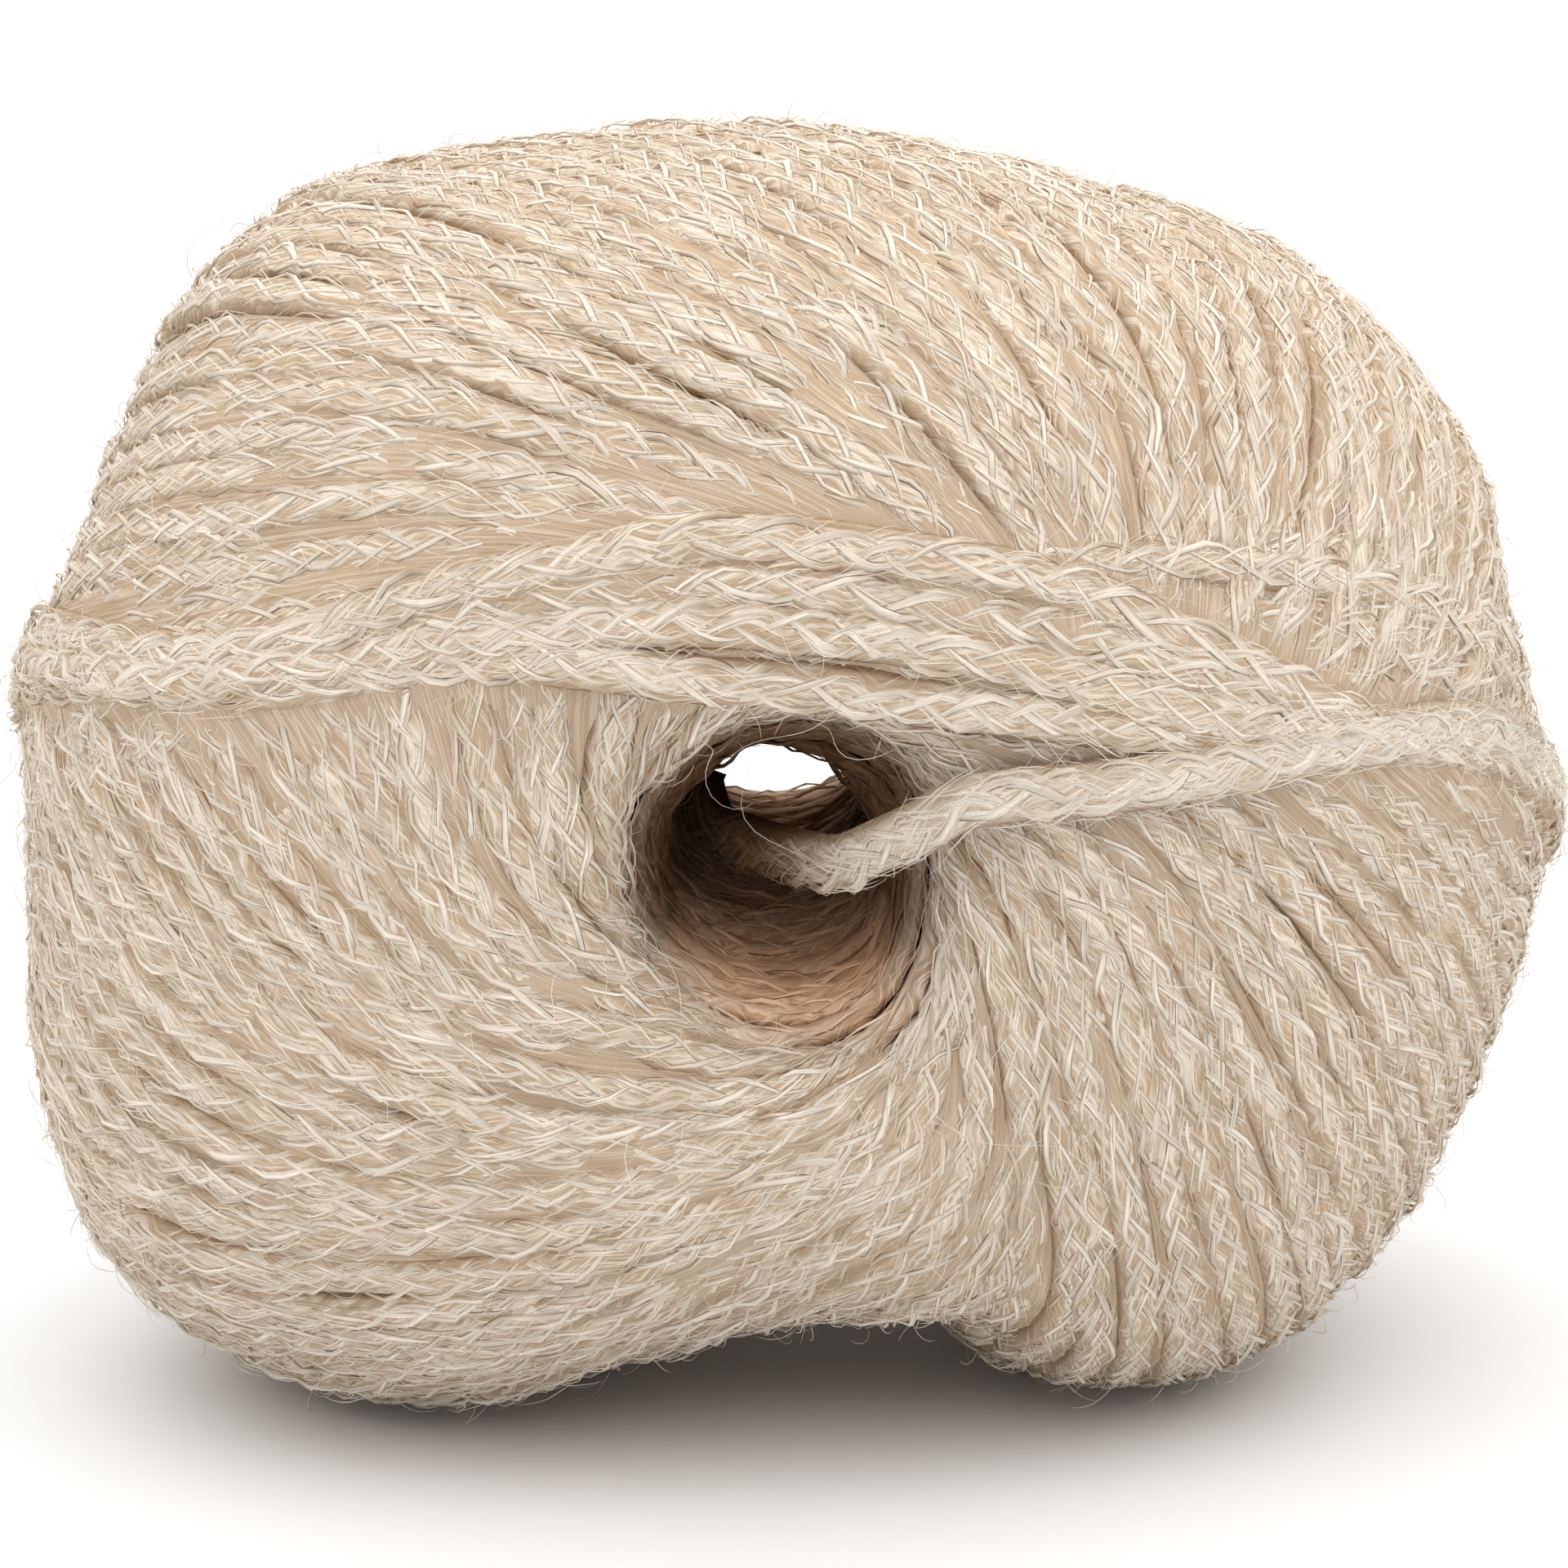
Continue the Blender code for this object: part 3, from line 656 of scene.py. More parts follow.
def lay_locks(lines, share, kind, rng, size=1.0):
    """Return (path, up, thick, flat, depth) of locks that lie along the plies.

    A lock keeps its own angle round its ply, give or take a little, and its tips sink in. Its tone
    is painted light and shade: paler on top of its ply and where the ply lies over the others,
    darker at its sunk tips, and darker towards the strand's edges by its share across squared, as
    painted shade in the grooves between strands. `share` is how many locks lie side by side on a
    strand.
    """
    length, stations, thin, fat, flat, place, lifted, fan, tone = kind
    strands = Lines(lines)
    which, order, way = strands.spread(length * MM / share, rng)
    count = len(which)
    t = np.linspace(0, 1, stations)[None]
    long = length * MM * rng.uniform(0.75, 1.3, (count, 1))
    way = np.clip(way[:, None] + long * (t - 0.5), 0, strands.length[which, None])
    centre, up, side, pace = strands.at(which[:, None], way)
    across, above = plait(pace[..., 0], (order % 3)[:, None])
    sway = rng.normal(0, 0.22 * fan, (count, 1)) * np.sin(2 * np.pi * (t + rng.uniform(0, 1, (count, 1))))
    lean = np.radians(rng.uniform(-fan, fan, (count, 1)) + sway)
    half_width, half_height = strands.width[which, None] / 2, strands.thickness[which, None] / 2
    ends = np.abs(2 * t - 1)
    lift = (lifted - TIP_SINK * ends ** 4 + rng.normal(0, 0.05, (count, 1))) * MM * size
    aside = across + place * PLY_WIDE * np.sin(lean)
    height = (PLY_LEVEL + above + place * PLY_HIGH * np.cos(lean)) * half_height + lift
    path = centre + side * (aside * half_width)[..., None] + up * height[..., None]
    plump = (thin + (fat - thin) * rng.uniform(0, 1, (count, 1)) ** 1.5) * MM * size
    thick = plump * (0.08 + 0.92 * (1 - ends ** 2) ** 0.8)
    # Painted light and shade, with a random tone.
    depth = tone + BASE_TONE + OVER_UNDER_PAINTED_SHADE * above + TOP_PAINTED_LIGHT * np.cos(lean)
    depth = depth - EDGE_PAINTED_SHADE * np.minimum(aside ** 2, 1.2)
    depth += rng.normal(0, 0.10, (count, 1)) - TIP_PAINTED_SHADE * ends ** 3
    facing = unit(up + 0.6 * side * np.sin(lean)[..., None])
    kept = rng.uniform(0, 1, count) < np.where(path[:, stations // 2, 1] < BACK_FROM, 1.0, BACK_SHARE)
    return path[kept], facing[kept], thick[kept], flat, depth[kept]


# %% Single fibres
def lay_fibres(lines, every, rng, stray=0.22):
    """Return (path, up, thick, flat, depth) of single fibres that lie loosely along the strand."""
    strands = Lines(lines)
    which, _, way = strands.spread(every, rng)
    count = len(which)
    t = np.linspace(0, 1, 7)[None]
    long = rng.uniform(3.5, 8.5, (count, 1)) * MM
    way = np.clip(way[:, None] + long * (t - 0.5), 0, strands.length[which, None])
    across = rng.uniform(-0.95, 0.95, (count, 1)) + rng.normal(0, 0.38, (count, 1)) * (t - 0.5) * 2
    across += rng.normal(0, 0.12, (count, 1)) * np.sin(2 * np.pi * t)
    rise = rng.uniform(0.15, 0.50, (count, 1)) + stray * np.abs(rng.normal(0, 1, (count, 1)))
    lift = rise * np.sin(np.pi * np.clip(t * rng.uniform(0.7, 1.0, (count, 1)), 0, 1)) * MM
    height = strands.thickness[which, None] / 2 * np.sqrt(np.maximum(1 - across ** 2, 0.02)) + lift
    centre, up, side, _ = strands.at(which[:, None], way)
    path = centre + side * (across * strands.width[which, None] / 2)[..., None] + up * height[..., None]
    thick = rng.uniform(0.03, 0.055, (count, 1)) * MM * (0.3 + 0.7 * np.sin(np.pi * t))
    return path, up, thick, 1.0, np.full((count, 7), 1.1) + rng.normal(0, 0.12, (count, 1))


# %% [markdown]
# ## The loose end
#
# The outer end leaves the band of last turns at the right, lies across the front and is tucked
# into the eye, where its cut tip is out of sight. Its length is what shows, about 9 cm, plus the
# centimetre that is hidden. It repeats the route of its solid: first places on the ball, then
# places in the air of the eye, on one Catmull-Rom curve. It is the same strand as the ball's, a
# little fuller, as nothing presses on it.

# %% The loose end
LOOSE_DIAMETER = 4.5 * MM
LOOSE_ABOVE = LOOSE_DIAMETER / 2 + 0.4 * MM - 1.3 * MM
LOOSE_ON_BALL = ((3.5, 0.416), (5.5, 0.399), (8.5, 0.369), (11.5, 0.336), (12, 0.318), (13, 0.292),
                 (14, 0.270), (15.5, 0.249), (18, 0.229), (20.5, 0.210))
LOOSE_IN_EYE = ((12.0, -43.5, 5.9), (9.2, -42.0, 4.0), (6.3, -39.5, 2.2), (3.6, -36.0, 0.3),
                (0.8, -30.0, -0.6), (-2.0, -23.0, -1.2), (-4.6, -16.0, -1.6), (-5.9, -10.0, -0.7),
                (-6.0, -4.5, 0.3))


def smooth_route(points, count):
    """Return count evenly spaced points of a Catmull-Rom curve through the given points."""
    points = np.array(points, float)
    ends = np.vstack([2 * points[0] - points[1], points, 2 * points[-1] - points[-2]])
    t = np.linspace(0.0, 1.0, 24, endpoint=False)[:, None]
    pieces = []
    for a, b, c, d in zip(ends[:-3], ends[1:-2], ends[2:-1], ends[3:]):
        pieces.append(0.5 * (2 * b + (c - a) * t + (2 * a - 5 * b + 4 * c - d) * t ** 2
                             + (3 * b - a - 3 * c + d) * t ** 3))
    dense = np.vstack(pieces + [points[-1:]])
    way = length_along(dense)
    even = np.linspace(0.0, way[-1], count)
    return np.column_stack([np.interp(even, way, dense[:, axis]) for axis in range(points.shape[1])])


def route_on_ball(rows, count, step=4e-3):
    """Return (points, up) of a smooth route on the plain ball through (around in degrees, across) rows."""
    lie = smooth_route(rows, count)
    around, across = np.radians(lie[:, 0]), lie[:, 1]
    return surface_point(around, across), surface_normal(around, across, step)


points, up = route_on_ball(LOOSE_ON_BALL, 24, 1e-3)
on_ball = points + LOOSE_ABOVE * up
loose_route = smooth_route(np.vstack([on_ball[::4], EYE_AXIS + np.array(LOOSE_IN_EYE) * MM]), 44)
toward_front = unit(loose_route - (EYE_AXIS + (0.0, 30 * MM, 0.0)))
rng = np.random.default_rng(11)
loose_strand = Strands(11)
fine_route = smooth_route(loose_route, 180)
loose_strand.add(fine_route, at_share(toward_front, np.linspace(0, len(toward_front) - 1, 180)),
                 4.3 * MM, 3.7 * MM, spacing=0.7 * MM)
loose_end = loose_strand.build("loose_end_strand", LOOSE_BODY, LOOSE)
loose_bundles = spindles("loose_end_bundles", lay_locks(loose_strand.lines, 7, BUNDLE_LOCKS, rng, 1.3),
                         LOOSE_LOCKS, rng, LOOSE)
loose_locks = spindles("loose_end_locks", lay_locks(loose_strand.lines, 12, THIN_LOCKS, rng, 1.2),
                       LOOSE_YARN, rng, LOOSE)
loose_fibres = spindles("loose_end_fibres", lay_fibres(loose_strand.lines, 0.5 * MM, rng), LOOSE_YARN,
                        rng, LOOSE)

# %% [markdown]
# ## How the turns lie
#
# Every turn leans, so it runs around the eye while it goes from the front lip to the back lip.
# The last turn divides the ball in two. Above it the turns that show climb one way, below it they
# climb the other way, because there the other half of each turn is on top. A turn is named by the
# place where it crosses the widest line. From there its angle follows a table of slopes, which
# is stretched where the ball is squashed.

# %% Winding paths
SEAM = (
    (3, 0.415), (8, 0.36), (12, 0.33), (19, 0.285), (32, 0.258), (51, 0.232), (65, 0.225),
    (81, 0.222), (99, 0.225), (119, 0.235), (135, 0.252), (148, 0.28), (157, 0.314),
    (163, 0.356), (169, 0.44), (174, 0.50), (180, 0.56), (188, 0.64), (199, 0.69), (214, 0.735),
    (234, 0.765), (264, 0.775), (294, 0.765), (317, 0.735), (332, 0.69), (342, 0.63),
    (349, 0.56), (355, 0.50),
)
TURN_SLOPE = ((0.10, 30.0), (0.20, 17.0), (0.24, 12.0), (0.28, 6.6), (0.32, 4.4), (0.36, 3.1),
              (0.42, 2.1), (0.50, 1.8))
UPPER_STRETCH = ((20, 0.7), (45, 0.75), (70, 1.35), (95, 1.45), (120, 1.3), (150, 0.8), (250, 1.0))
LOWER_STRETCH = ((0, 1.2), (90, 1.0), (170, 1.3), (190, 0.95), (210, 0.9), (240, 1.6), (260, 1.6),
                 (280, 0.9), (298, 0.5), (320, 0.65), (340, 1.1))
VALLEY = ((333, 0.075), (318, 0.12), (311, 0.16), (310, 0.208), (307, 0.239), (301, 0.269),
          (294, 0.321), (284, 0.42), (277, 0.50), (270, 0.60))
SEAM_TABLE = smooth_table(SEAM, 4.0)
knots = np.linspace(0.0, 1.0, 401)
slope_at, slope = np.array(TURN_SLOPE).T
slope_rate = np.interp(np.minimum(knots, 1.0 - knots), slope_at, slope)
RUN = np.degrees(np.concatenate([[0.0], np.cumsum((slope_rate[1:] + slope_rate[:-1]) / 2 * np.diff(knots))]))


def evening(stretch):
    """Return (angle, evened angle): evened = integral of 1/stretch, scaled to one whole turn."""
    angles, factor = smooth_table(stretch, 20.0)
    even = np.concatenate([[0.0], np.cumsum(np.diff(angles) / ((factor[1:] + factor[:-1]) / 2))])
    return angles, even * 360.0 / even[-1]


def run_left(across):
    """Return the evened angle that a turn still runs before it reaches the widest line."""
    return np.interp(0.5, knots, RUN) - np.interp(across, knots, RUN)


def winding_path(crossing, across, stretch_table, direction):
    """Return the angle around, in radians, of the turn that crosses the widest line at crossing."""
    angles, even = stretch_table
    evened = np.interp(crossing % 360.0, angles, even) - direction * run_left(across)
    whole = np.floor(evened / 360.0)
    return np.radians(np.interp(evened - 360.0 * whole, even, angles) + 360.0 * whole)


def distance_to(points, route):
    """Return the distance of each point to the nearest sample of a dense route."""
    return np.sqrt(((points[:, None] - route[None]) ** 2).sum(axis=-1).min(axis=1))


BAND_RISE, BAND_SPREAD = 1.0 * MM, 9.0 * MM
VALLEY_DROP, VALLEY_SPREAD = 2.0 * MM, 4.6 * MM
seam_route = surface_point(np.radians(SEAM_TABLE[0][::3]), SEAM_TABLE[1][::3])
valley_route = route_on_ball(VALLEY, 120)[0]


def swelling(points, across):
    """Return how far the wound surface stands above the plain ball: last turns up, valley down."""
    half = np.minimum(across, 1.0 - across)
    outside = np.clip((half - 0.19) / 0.05, 0.0, 1.0)
    late = BAND_RISE * np.exp(-(distance_to(points, seam_route) / BAND_SPREAD) ** 2) * outside
    return late - VALLEY_DROP * np.exp(-(distance_to(points, valley_route) / VALLEY_SPREAD) ** 2)


# %% [markdown]
# ## The turns that show
#
# The paths draw together towards the lips and spread elsewhere, but the strand keeps its width.
# A turn for each pitch of the widest line would leave gaps there or a heap at the lips. So turns
# are laid one after another, and each is kept only where it runs at least a pitch away from those
# already laid. Where it would come nearer it dives under its neighbours, which is how covered
# turns look on a real ball. Later passes keep shorter stretches, and fill the gaps a little lower.

# %% Turns already laid
STRAND_WIDTH = 3.5 * MM
STRAND_THICKNESS = 2.7 * MM
TURN_PITCH = 2.7 * MM
FILL_PITCH = 1.7 * MM
FILL_DEPTH = 0.4 * MM
CANDIDATE_STEP = 0.4 * MM
REST_DEPTH = 1.15 * MM
DIVE_DEPTH = 2.2 * MM
DIVE_LENGTH = 4.5 * MM
LIP_START = 0.15
PATH_STEP = 1.5 * MM


class Taken:
    """Remembers which small cubes of space are nearer than `reach` to a turn laid before."""

    CUBE = 0.5 * MM

    def __init__(self, reach):
        span = int(reach / self.CUBE) + 1
        ball = np.stack(np.meshgrid(*[np.arange(-span, span + 1)] * 3, indexing="ij"), axis=-1).reshape(-1, 3)
        self.ball = ball[(ball ** 2).sum(axis=1) <= (reach / self.CUBE) ** 2]
        self.grid = np.zeros((280, 220, 240), bool)

    def cube(self, points):
        """Return the cube numbers of points."""
        return np.round((points + (0.07, 0.055, 0.01)) / self.CUBE).astype(int)

    def add(self, points):
        """Mark every cube within reach of the points."""
        cubes = (self.cube(points)[:, None] + self.ball[None]).reshape(-1, 3)
        self.grid[cubes[:, 0], cubes[:, 1], cubes[:, 2]] = True

    def free(self, points):
        """Tell which points lie in cubes that aren't marked."""
        cubes = self.cube(points)
        return ~self.grid[cubes[:, 0], cubes[:, 1], cubes[:, 2]]


def runs_of(flags):
    """Return (first, last) index pairs of the runs of True."""
    edges = np.diff(np.concatenate([[0], flags.astype(int), [0]]))
    return list(zip(np.nonzero(edges == 1)[0], np.nonzero(edges == -1)[0] - 1))


# %% Choosing the turns
def candidate(crossing, stretch_table, direction):
    """Return (around, across, points) of one turn in its own region, a sample every PATH_STEP."""
    across = np.linspace(LIP_START, 1.0 - LIP_START, 900)
    around = winding_path(crossing, across, stretch_table, direction)
    inside = np.nonzero((across - read_table(SEAM_TABLE, around)) * direction > -0.006)[0]
    if len(inside) < 12:
        return None
    across, around = across[inside[0]:inside[-1] + 1], around[inside[0]:inside[-1] + 1]
    _, share = resample(surface_point(around, across), PATH_STEP)
    index = np.arange(len(around))
    around, across = np.interp(share, index, around), np.interp(share, index, across)
    return around, across, surface_point(around, across)


def place_turns(stretch, direction):
    """Choose the visible stretches of one family: a greedy sweep that keeps a pitch between turns."""
    stretch_table = evening(stretch)
    kept = []
    near, nearer = Taken(TURN_PITCH), Taken(FILL_PITCH)
    crossings = np.interp(np.arange(0.0, WIDEST_LENGTH, CANDIDATE_STEP), length_along(widest),
                          np.linspace(0, 360, 721))
    found = [candidate(crossing, stretch_table, direction) for crossing in crossings]
    for shortest, taken, low in ((26 * MM, near, 0.0), (9 * MM, near, 0.0), (6 * MM, nearer, FILL_DEPTH),
                                 (3 * MM, nearer, 1.5 * FILL_DEPTH)):
        for around, across, points in filter(None, found):
            for first, last in runs_of(taken.free(points)):
                if (last - first) * PATH_STEP < shortest:
                    continue
                near.add(points[first:last + 1])
                nearer.add(points[first:last + 1])
                reach = int(DIVE_LENGTH / PATH_STEP)
                start, stop = max(first - reach, 0), min(last + reach, len(points) - 1)
                kept.append((around[start:stop + 1], across[start:stop + 1], low))
    return kept


# %% Laying both families
UNEVEN, UNEVEN_EVERY, TURN_UNEVEN = 0.22 * MM, 45 * MM, 0.16
DRIFT, DRIFT_EVERY = 0.25 * MM, 38 * MM


def settle(around, across, low, rng):
    """Return (centreline, up): on the wound surface, uneven by a little, diving at both ends."""
    points, up = surface_point(around, across), surface_normal(around, across)
    side = unit(np.cross(up, np.gradient(points, axis=0)))
    even = np.arange(len(points)) * PATH_STEP
    dive = 0.5 + 0.5 * np.cos(np.pi * np.clip(np.minimum(even, even[-1] - even) / DIVE_LENGTH, 0, 1))
    height = swelling(points, across) - REST_DEPTH - low - DIVE_DEPTH * dive
    height += UNEVEN * wander(even, rng, UNEVEN_EVERY) + rng.normal(0, TURN_UNEVEN) * MM
    drift = DRIFT * wander(even, rng, DRIFT_EVERY)
    return points + up * height[:, None] + side * drift[:, None], up


def lay_family(name, stretch, direction, seed):
    """Lay every turn of one family, build the bodies, and return their lines."""
    rng = np.random.default_rng(seed)
    family = Strands(seed)
    for around, across, low in place_turns(stretch, direction):
        centre, up = settle(around, across, low, rng)
        family.add(centre, up, STRAND_WIDTH * rng.uniform(0.93, 1.07), STRAND_THICKNESS)
    family.build(name + "_turns", BODY_YARN)
    print("%s: %d stretches, %.1f m" % (name, len(family.lines), sum(line[4][-1] for line in family.lines)))
    return family.lines


upper_lines = lay_family("upper", UPPER_STRETCH, 1, 21)
lower_lines = lay_family("lower", LOWER_STRETCH, -1, 22)

# %% [markdown]
# ## The band of last turns
#
# The last four turns lie on all the others. They fan out over the eye and draw together into one
# thick rope at both sides. Each is a closed loop: its front half, then the same half reflected
# through the middle of the ball, as a machine lays it. These few are what the eye goes to first,
# so they follow measured places. A fifth fills the gap between two of them from below. One short
# stretch more leads from the back to where the loose end starts.

# %% The band
LAST_TURNS = (
    ((166.5, 0.459), (161.5, 0.359), (155.5, 0.316), (147, 0.289), (129.5, 0.260), (114.5, 0.254),
     (98.5, 0.250), (81, 0.247), (65, 0.250), (41.5, 0.264), (26, 0.283), (14, 0.316), (8.5, 0.355),
     (3.5, 0.416)),
    ((168.5, 0.465), (162.5, 0.357), (156.5, 0.315), (149.5, 0.285), (136, 0.259), (120, 0.242),
     (99.5, 0.234), (76.5, 0.230), (54.5, 0.238), (32, 0.261), (17, 0.297), (10.5, 0.335),
     (3.5, 0.413)),
    ((169.5, 0.460), (163.5, 0.356), (158, 0.314), (147.5, 0.273), (134.5, 0.245), (116.5, 0.228),
     (84, 0.215), (50.5, 0.226), (27, 0.254), (16, 0.291), (10.5, 0.335)),
    ((170.5, 0.453), (164, 0.354), (159.5, 0.311), (152.5, 0.281), (133, 0.230), (104.5, 0.199),
     (60.5, 0.199), (31.5, 0.230), (17.5, 0.274), (12, 0.318)),
    ((169.8, 0.457), (163.7, 0.355), (158.7, 0.313), (150, 0.277), (134, 0.238), (110, 0.2125),
     (72, 0.2065), (40.5, 0.229), (22, 0.264), (13, 0.305)),
)
TAIL_ROOT = ((-38, 0.735), (-28, 0.69), (-18, 0.62), (-10, 0.535), (-2, 0.46), (3.5, 0.416))
BAND_HEIGHT = (0.9 * MM, 0.5 * MM, 1.0 * MM, 0.7 * MM, -0.5 * MM)
BAND_WIDTH = 4.1 * MM
BAND_THICKNESS = 3.3 * MM


def closed_turn(line):
    """Return a whole turn in (around, across): the front half and its reflection, closed."""
    line = np.array(line, float)
    behind = np.column_stack([line[:, 0] - 180.0, 1.0 - line[:, 1]])
    return np.vstack([line, behind, line[:1] - (360.0, 0.0)])


rng = np.random.default_rng(31)
band = Strands(31)
for line, above in zip(LAST_TURNS, BAND_HEIGHT):
    points, up = route_on_ball(closed_turn(line), 900)
    height = above + 0.25 * MM * wander(np.linspace(0, 0.36, 900), rng, 50 * MM)
    band.add(points + up * height[:, None], up, BAND_WIDTH, BAND_THICKNESS)
points, up = route_on_ball(TAIL_ROOT, 200)
rising = np.linspace(-1.5 * MM, LOOSE_ABOVE, 200)
band.add(points + up * rising[:, None], up, BAND_WIDTH, BAND_THICKNESS)
band.build("last_turns", BODY_YARN)

# %% [markdown]
# ## The wall of the eye
#
# Inside the eye the turns that touched the bar show from their other side. They run round it,
# only a little slanted, so a few parallel helices cover the wall from mouth to mouth. Under the
# roof in front they hang into the eye, as slack yarn does, and make the way through narrower.

# %% Wall turns
WALL_TURNS = 6
WALL_PITCH = 3.5 * MM
# mm that the wall lies down, sinks at its mouths, and hangs in at the roof, the right and the sill
WALL_DOWN, MOUTH_SINK, ROOF_IN, RIGHT_IN, SILL_IN = 0.6, 2.6, 3.3, 1.6, 1.2


def lay_wall(rng):
    """Cover the wall with parallel helices whose rows are one pitch apart."""
    wall = Strands(41)
    span = 0.19
    length = 2 * (HALF_DEPTH - LIP_DEPTH) * span / MOUTH_AT
    turns = length / (WALL_TURNS * WALL_PITCH)
    for start in range(WALL_TURNS):
        across = np.linspace(-span, span, 1200)
        around = 2 * np.pi * (start / WALL_TURNS - turns * (across + span) / (2 * span))
        points, up = surface_point(around, across), surface_normal(around, across)
        even = np.linspace(0, 0.3, 1200)
        sink = np.clip((np.abs(across) - 0.14) / 0.05, 0.0, 1.0)
        narrow = np.clip((0.145 - across) / 0.05, 0.0, 1.0) * np.clip((0.15 + across) / 0.07, 0.0, 1.0)
        roof = ROOF_IN * np.clip(0.4 + 0.9 * np.sin(around), 0.0, 1.0)
        roof += RIGHT_IN * np.clip(np.cos(around - np.radians(30)), 0.0, 1.0)
        sill = SILL_IN * np.clip(-np.sin(around), 0.0, 1.0) * np.clip(-across / 0.1, 0.0, 1.0)
        uneven = 0.2 * wander(even, rng, 40 * MM)
        height = (narrow * roof + sill - WALL_DOWN - MOUTH_SINK * sink + uneven) * MM
        wall.add(points + up * height[:, None], up, STRAND_WIDTH, STRAND_THICKNESS)
    # The wall's bodies take a paler base tone than other bodies; inside the eye the painted light and shade
    # multiply it.
    wall.build("eye_wall_turns", BODY_YARN, tone=0.6)
    return wall.lines


wall_lines = lay_wall(np.random.default_rng(41))

# %% [markdown]
# ## The yarn underneath
#
# Between two turns the layer below shows. More strands there would cost much and hardly be seen.
# So one closed skin with the same material stands for it, with its fibres laid along the turns. It
# is raised under the band, where the gaps are deepest.

# %% Under layer
CORE_AROUND, CORE_ACROSS = 120, 72
CORE_DEPTH = 0.98 * MM
CORE_RAISED, CORE_SPREAD = 1.6 * MM, 2.8 * MM
CORE_LOWEST = 0.6 * MM
around, across = np.meshgrid(np.linspace(0, 2 * np.pi, CORE_AROUND, endpoint=False),
                             np.linspace(0, 1, CORE_ACROSS, endpoint=False), indexing="ij")
points = surface_point(around, across)
rise = swelling(points.reshape(-1, 3), across.ravel()) - CORE_DEPTH
under_band = distance_to(points.reshape(-1, 3), np.concatenate([line[0] for line in band.lines]))
rise = (rise + CORE_RAISED * np.exp(-(under_band / CORE_SPREAD) ** 2)).reshape(around.shape)
points = points + surface_normal(around, across) * rise[..., None]
points[..., 2] = np.maximum(points[..., 2], CORE_LOWEST)
index = np.arange(CORE_AROUND * CORE_ACROSS).reshape(CORE_AROUND, CORE_ACROSS)
beside = np.roll(index, -1, axis=0)
quads = np.stack([index, np.roll(index, -1, axis=1), np.roll(beside, -1, axis=1), beside], axis=-1)
quads = quads.reshape(-1, 4)
core_up = surface_normal(around, across)
lower = across < read_table(SEAM_TABLE, around)
label = np.zeros_like(around)
for family, stretch, direction in ((~lower, UPPER_STRETCH, 1), (lower, LOWER_STRETCH, -1)):
    angles, even = evening(stretch)
    label[family] = (np.interp(np.degrees(around), angles, even) + direction * run_left(across))[family]
fibre = np.stack([across * 230.0, label / 360.0 * WIDEST_LENGTH / MM, np.zeros_like(label)], axis=-1)
# The under layer's low tone gives it mostly the painted shade colour: painted shade in the gaps between
# turns.
make_piece("under_layer", points, quads, fibre, np.full(index.size, 0.12), core_up, None, LOCK_YARN)

# %% [markdown]
# ## Locks and loose hair
#
# Now the locks go on every strand, split over a few pieces, and single fibres over them. Brushing
# also lifts some hairs off the ball: short ones all over, which make its outline soft, and long
# curly ones about the eye. A raised hair is p(t) = root + L t d + lift sin(pi t) n + curl, with d
# its direction and n the way up.

# %% Locks and lying fibres
BUNDLES_ACROSS = 5.0
LOCKS_ACROSS = 6.4
FIBRE_EVERY = 14.0 * MM
rng = np.random.default_rng(51)
turn_lines = upper_lines + lower_lines
spindles("bundles", lay_locks(turn_lines, BUNDLES_ACROSS, BUNDLE_LOCKS, rng), LOCK_YARN, rng)
spindles("locks", lay_locks(turn_lines, LOCKS_ACROSS, THIN_LOCKS, rng), YARN, rng)
spindles("fibres", lay_fibres(turn_lines, FIBRE_EVERY, rng), YARN, rng)
spindles("last_turn_bundles", lay_locks(band.lines, 6.0, BUNDLE_LOCKS, rng, 1.2), LOCK_YARN, rng)
spindles("last_turn_locks", lay_locks(band.lines, 7.5, THIN_LOCKS, rng, 1.1), YARN, rng)
spindles("last_turn_fibres", lay_fibres(band.lines, 4.0 * MM, rng), YARN, rng)
spindles("eye_wall_bundles", lay_locks(wall_lines, 3.0, BUNDLE_LOCKS, rng), LOCK_YARN, rng)
spindles("eye_wall_locks", lay_locks(wall_lines, 1.5, THIN_LOCKS, rng), YARN, rng)


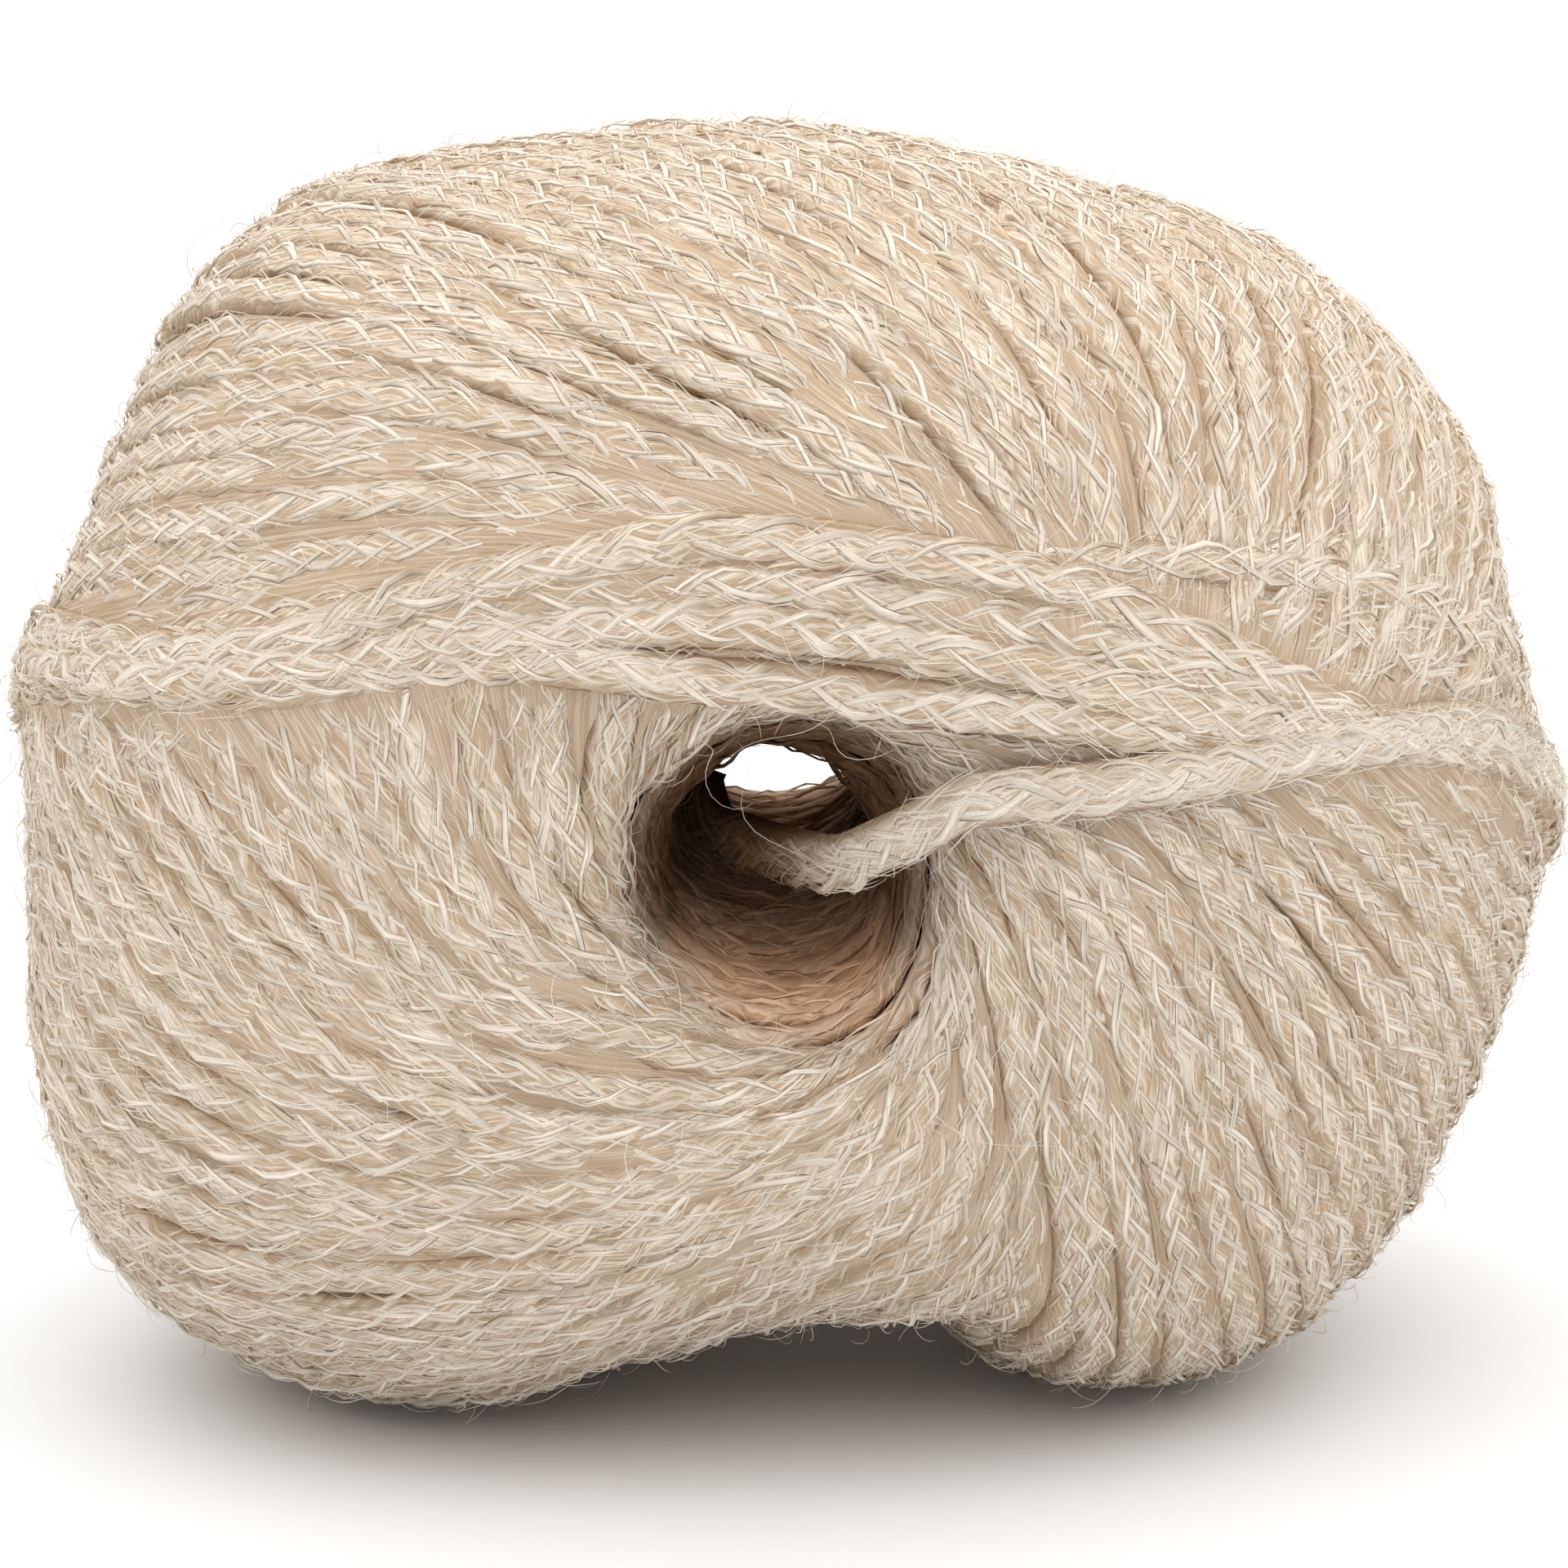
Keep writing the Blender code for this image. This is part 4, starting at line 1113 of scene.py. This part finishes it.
# %% Raised hairs
def raise_hairs(name, lines, every, length, lift, curl, radius, stations, rng):
    """Grow hairs that leave the strand in any direction and curl as they go."""
    strands = Lines(lines)
    which, _, way = strands.spread(every, rng)
    count = len(which)
    centre, up, side, _ = strands.at(which, way)
    ahead = strands.at(which, way + 1 * MM)[0]
    along = unit(ahead - centre + side * 1e-6)
    beside = rng.uniform(-0.4, 0.4, (count, 1)) * strands.width[which, None]
    root = centre + side * beside + up * strands.thickness[which, None] * 0.42
    lean = rng.uniform(0, 2 * np.pi, (count, 1))
    heading = unit(along * np.cos(lean) + side * np.sin(lean) * 0.8)
    other = np.cross(up, heading)
    t = np.linspace(0, 1, stations)[None, :, None]
    long = rng.uniform(*length, (count, 1, 1))
    rise = rng.uniform(*lift, (count, 1, 1)) * np.sin(np.pi * t * rng.uniform(0.4, 1.0, (count, 1, 1)))
    bend = rng.normal(0, 0.2, (count, 1, 1)) * long * t ** 2
    phase = rng.uniform(0, 2 * np.pi, (count, 1, 1))
    loops = 2 * np.pi * curl * rng.uniform(0.6, 1.4, (count, 1, 1)) * t
    swirl = 0.08 * long * (np.sin(loops + phase) - np.sin(phase))
    climb = 0.08 * long * (np.cos(loops + phase) - np.cos(phase))
    path = (root[:, None] + heading[:, None] * long * t + other[:, None] * (bend + swirl)
            + up[:, None] * (rise + climb))
    thick = radius * rng.uniform(0.7, 1.2, (count, 1)) * (1 - 0.6 * t[..., 0])
    laid = (path, np.broadcast_to(up[:, None], path.shape), thick, 1.0, np.full((count, stations), 1.1))
    spindles(name, laid, YARN, rng)


all_lines = turn_lines + band.lines
raise_hairs("raised_hairs", all_lines, 9 * MM, (2 * MM, 5 * MM), (0.4 * MM, 1.5 * MM), 0.5,
            0.036 * MM, 6, rng)
near_eye = [line for line in all_lines + loose_strand.lines
            if np.linalg.norm((line[0] - EYE_AXIS)[:, [0, 2]], axis=1).min() < 19 * MM
            and line[0][:, 1].min() < -20 * MM]
raise_hairs("curly_hairs", near_eye, 28 * MM, (5 * MM, 13 * MM), (0.8 * MM, 3.5 * MM), 1.2,
            0.04 * MM, 14, rng)

# %% [markdown]
# ## Floor and light
#
# The top of the ball is the brightest in the photograph, and its underside still shows every
# stitch. So a plain pale floor throws light back up, one very broad light comes from above, and a
# pale sky fills the rest. A narrow light would draw hard lines along every lock.

# %% Floor and light
FLOOR_COLOUR, SUN_COLOUR = (0.845, 0.86, 0.878, 1), (1.0, 0.985, 0.965)
SUN_STRENGTH, SUN_WIDTH, SKY_STRENGTH = 3.45, 110, 0.48
floor_mesh = bpy.data.meshes.new("floor")
floor_mesh.from_pydata([(-6, -6, 0), (6, -6, 0), (6, 6, 0), (-6, 6, 0)], [], [(0, 1, 2, 3)])
paint = bpy.data.materials.new("pale_floor")
paint.use_nodes = True
paint_inputs = paint.node_tree.nodes["Principled BSDF"].inputs
paint_inputs["Base Color"].default_value = FLOOR_COLOUR
paint_inputs["Roughness"].default_value = 0.9
floor_mesh.materials.append(paint)
add_object("floor", floor_mesh)
sun_data = bpy.data.lights.new("broad_light", "SUN")
sun_data.energy = SUN_STRENGTH
sun_data.angle = np.radians(SUN_WIDTH)
sun_data.color = SUN_COLOUR
sun = add_object("broad_light", sun_data)
sun.rotation_euler = Vector((0.03, -0.10, 1.0)).to_track_quat("Z", "Y").to_euler()
world = bpy.data.worlds.new("sky")
world.use_nodes = True
sky = world.node_tree.nodes["Background"].inputs
sky["Color"].default_value = (1.0, 1.0, 1.0, 1.0)
sky["Strength"].default_value = SKY_STRENGTH
bpy.context.scene.world = world
bpy.context.scene.view_settings.view_transform = "Standard"
print("sun %.2f, sky %.2f" % (SUN_STRENGTH, SKY_STRENGTH))
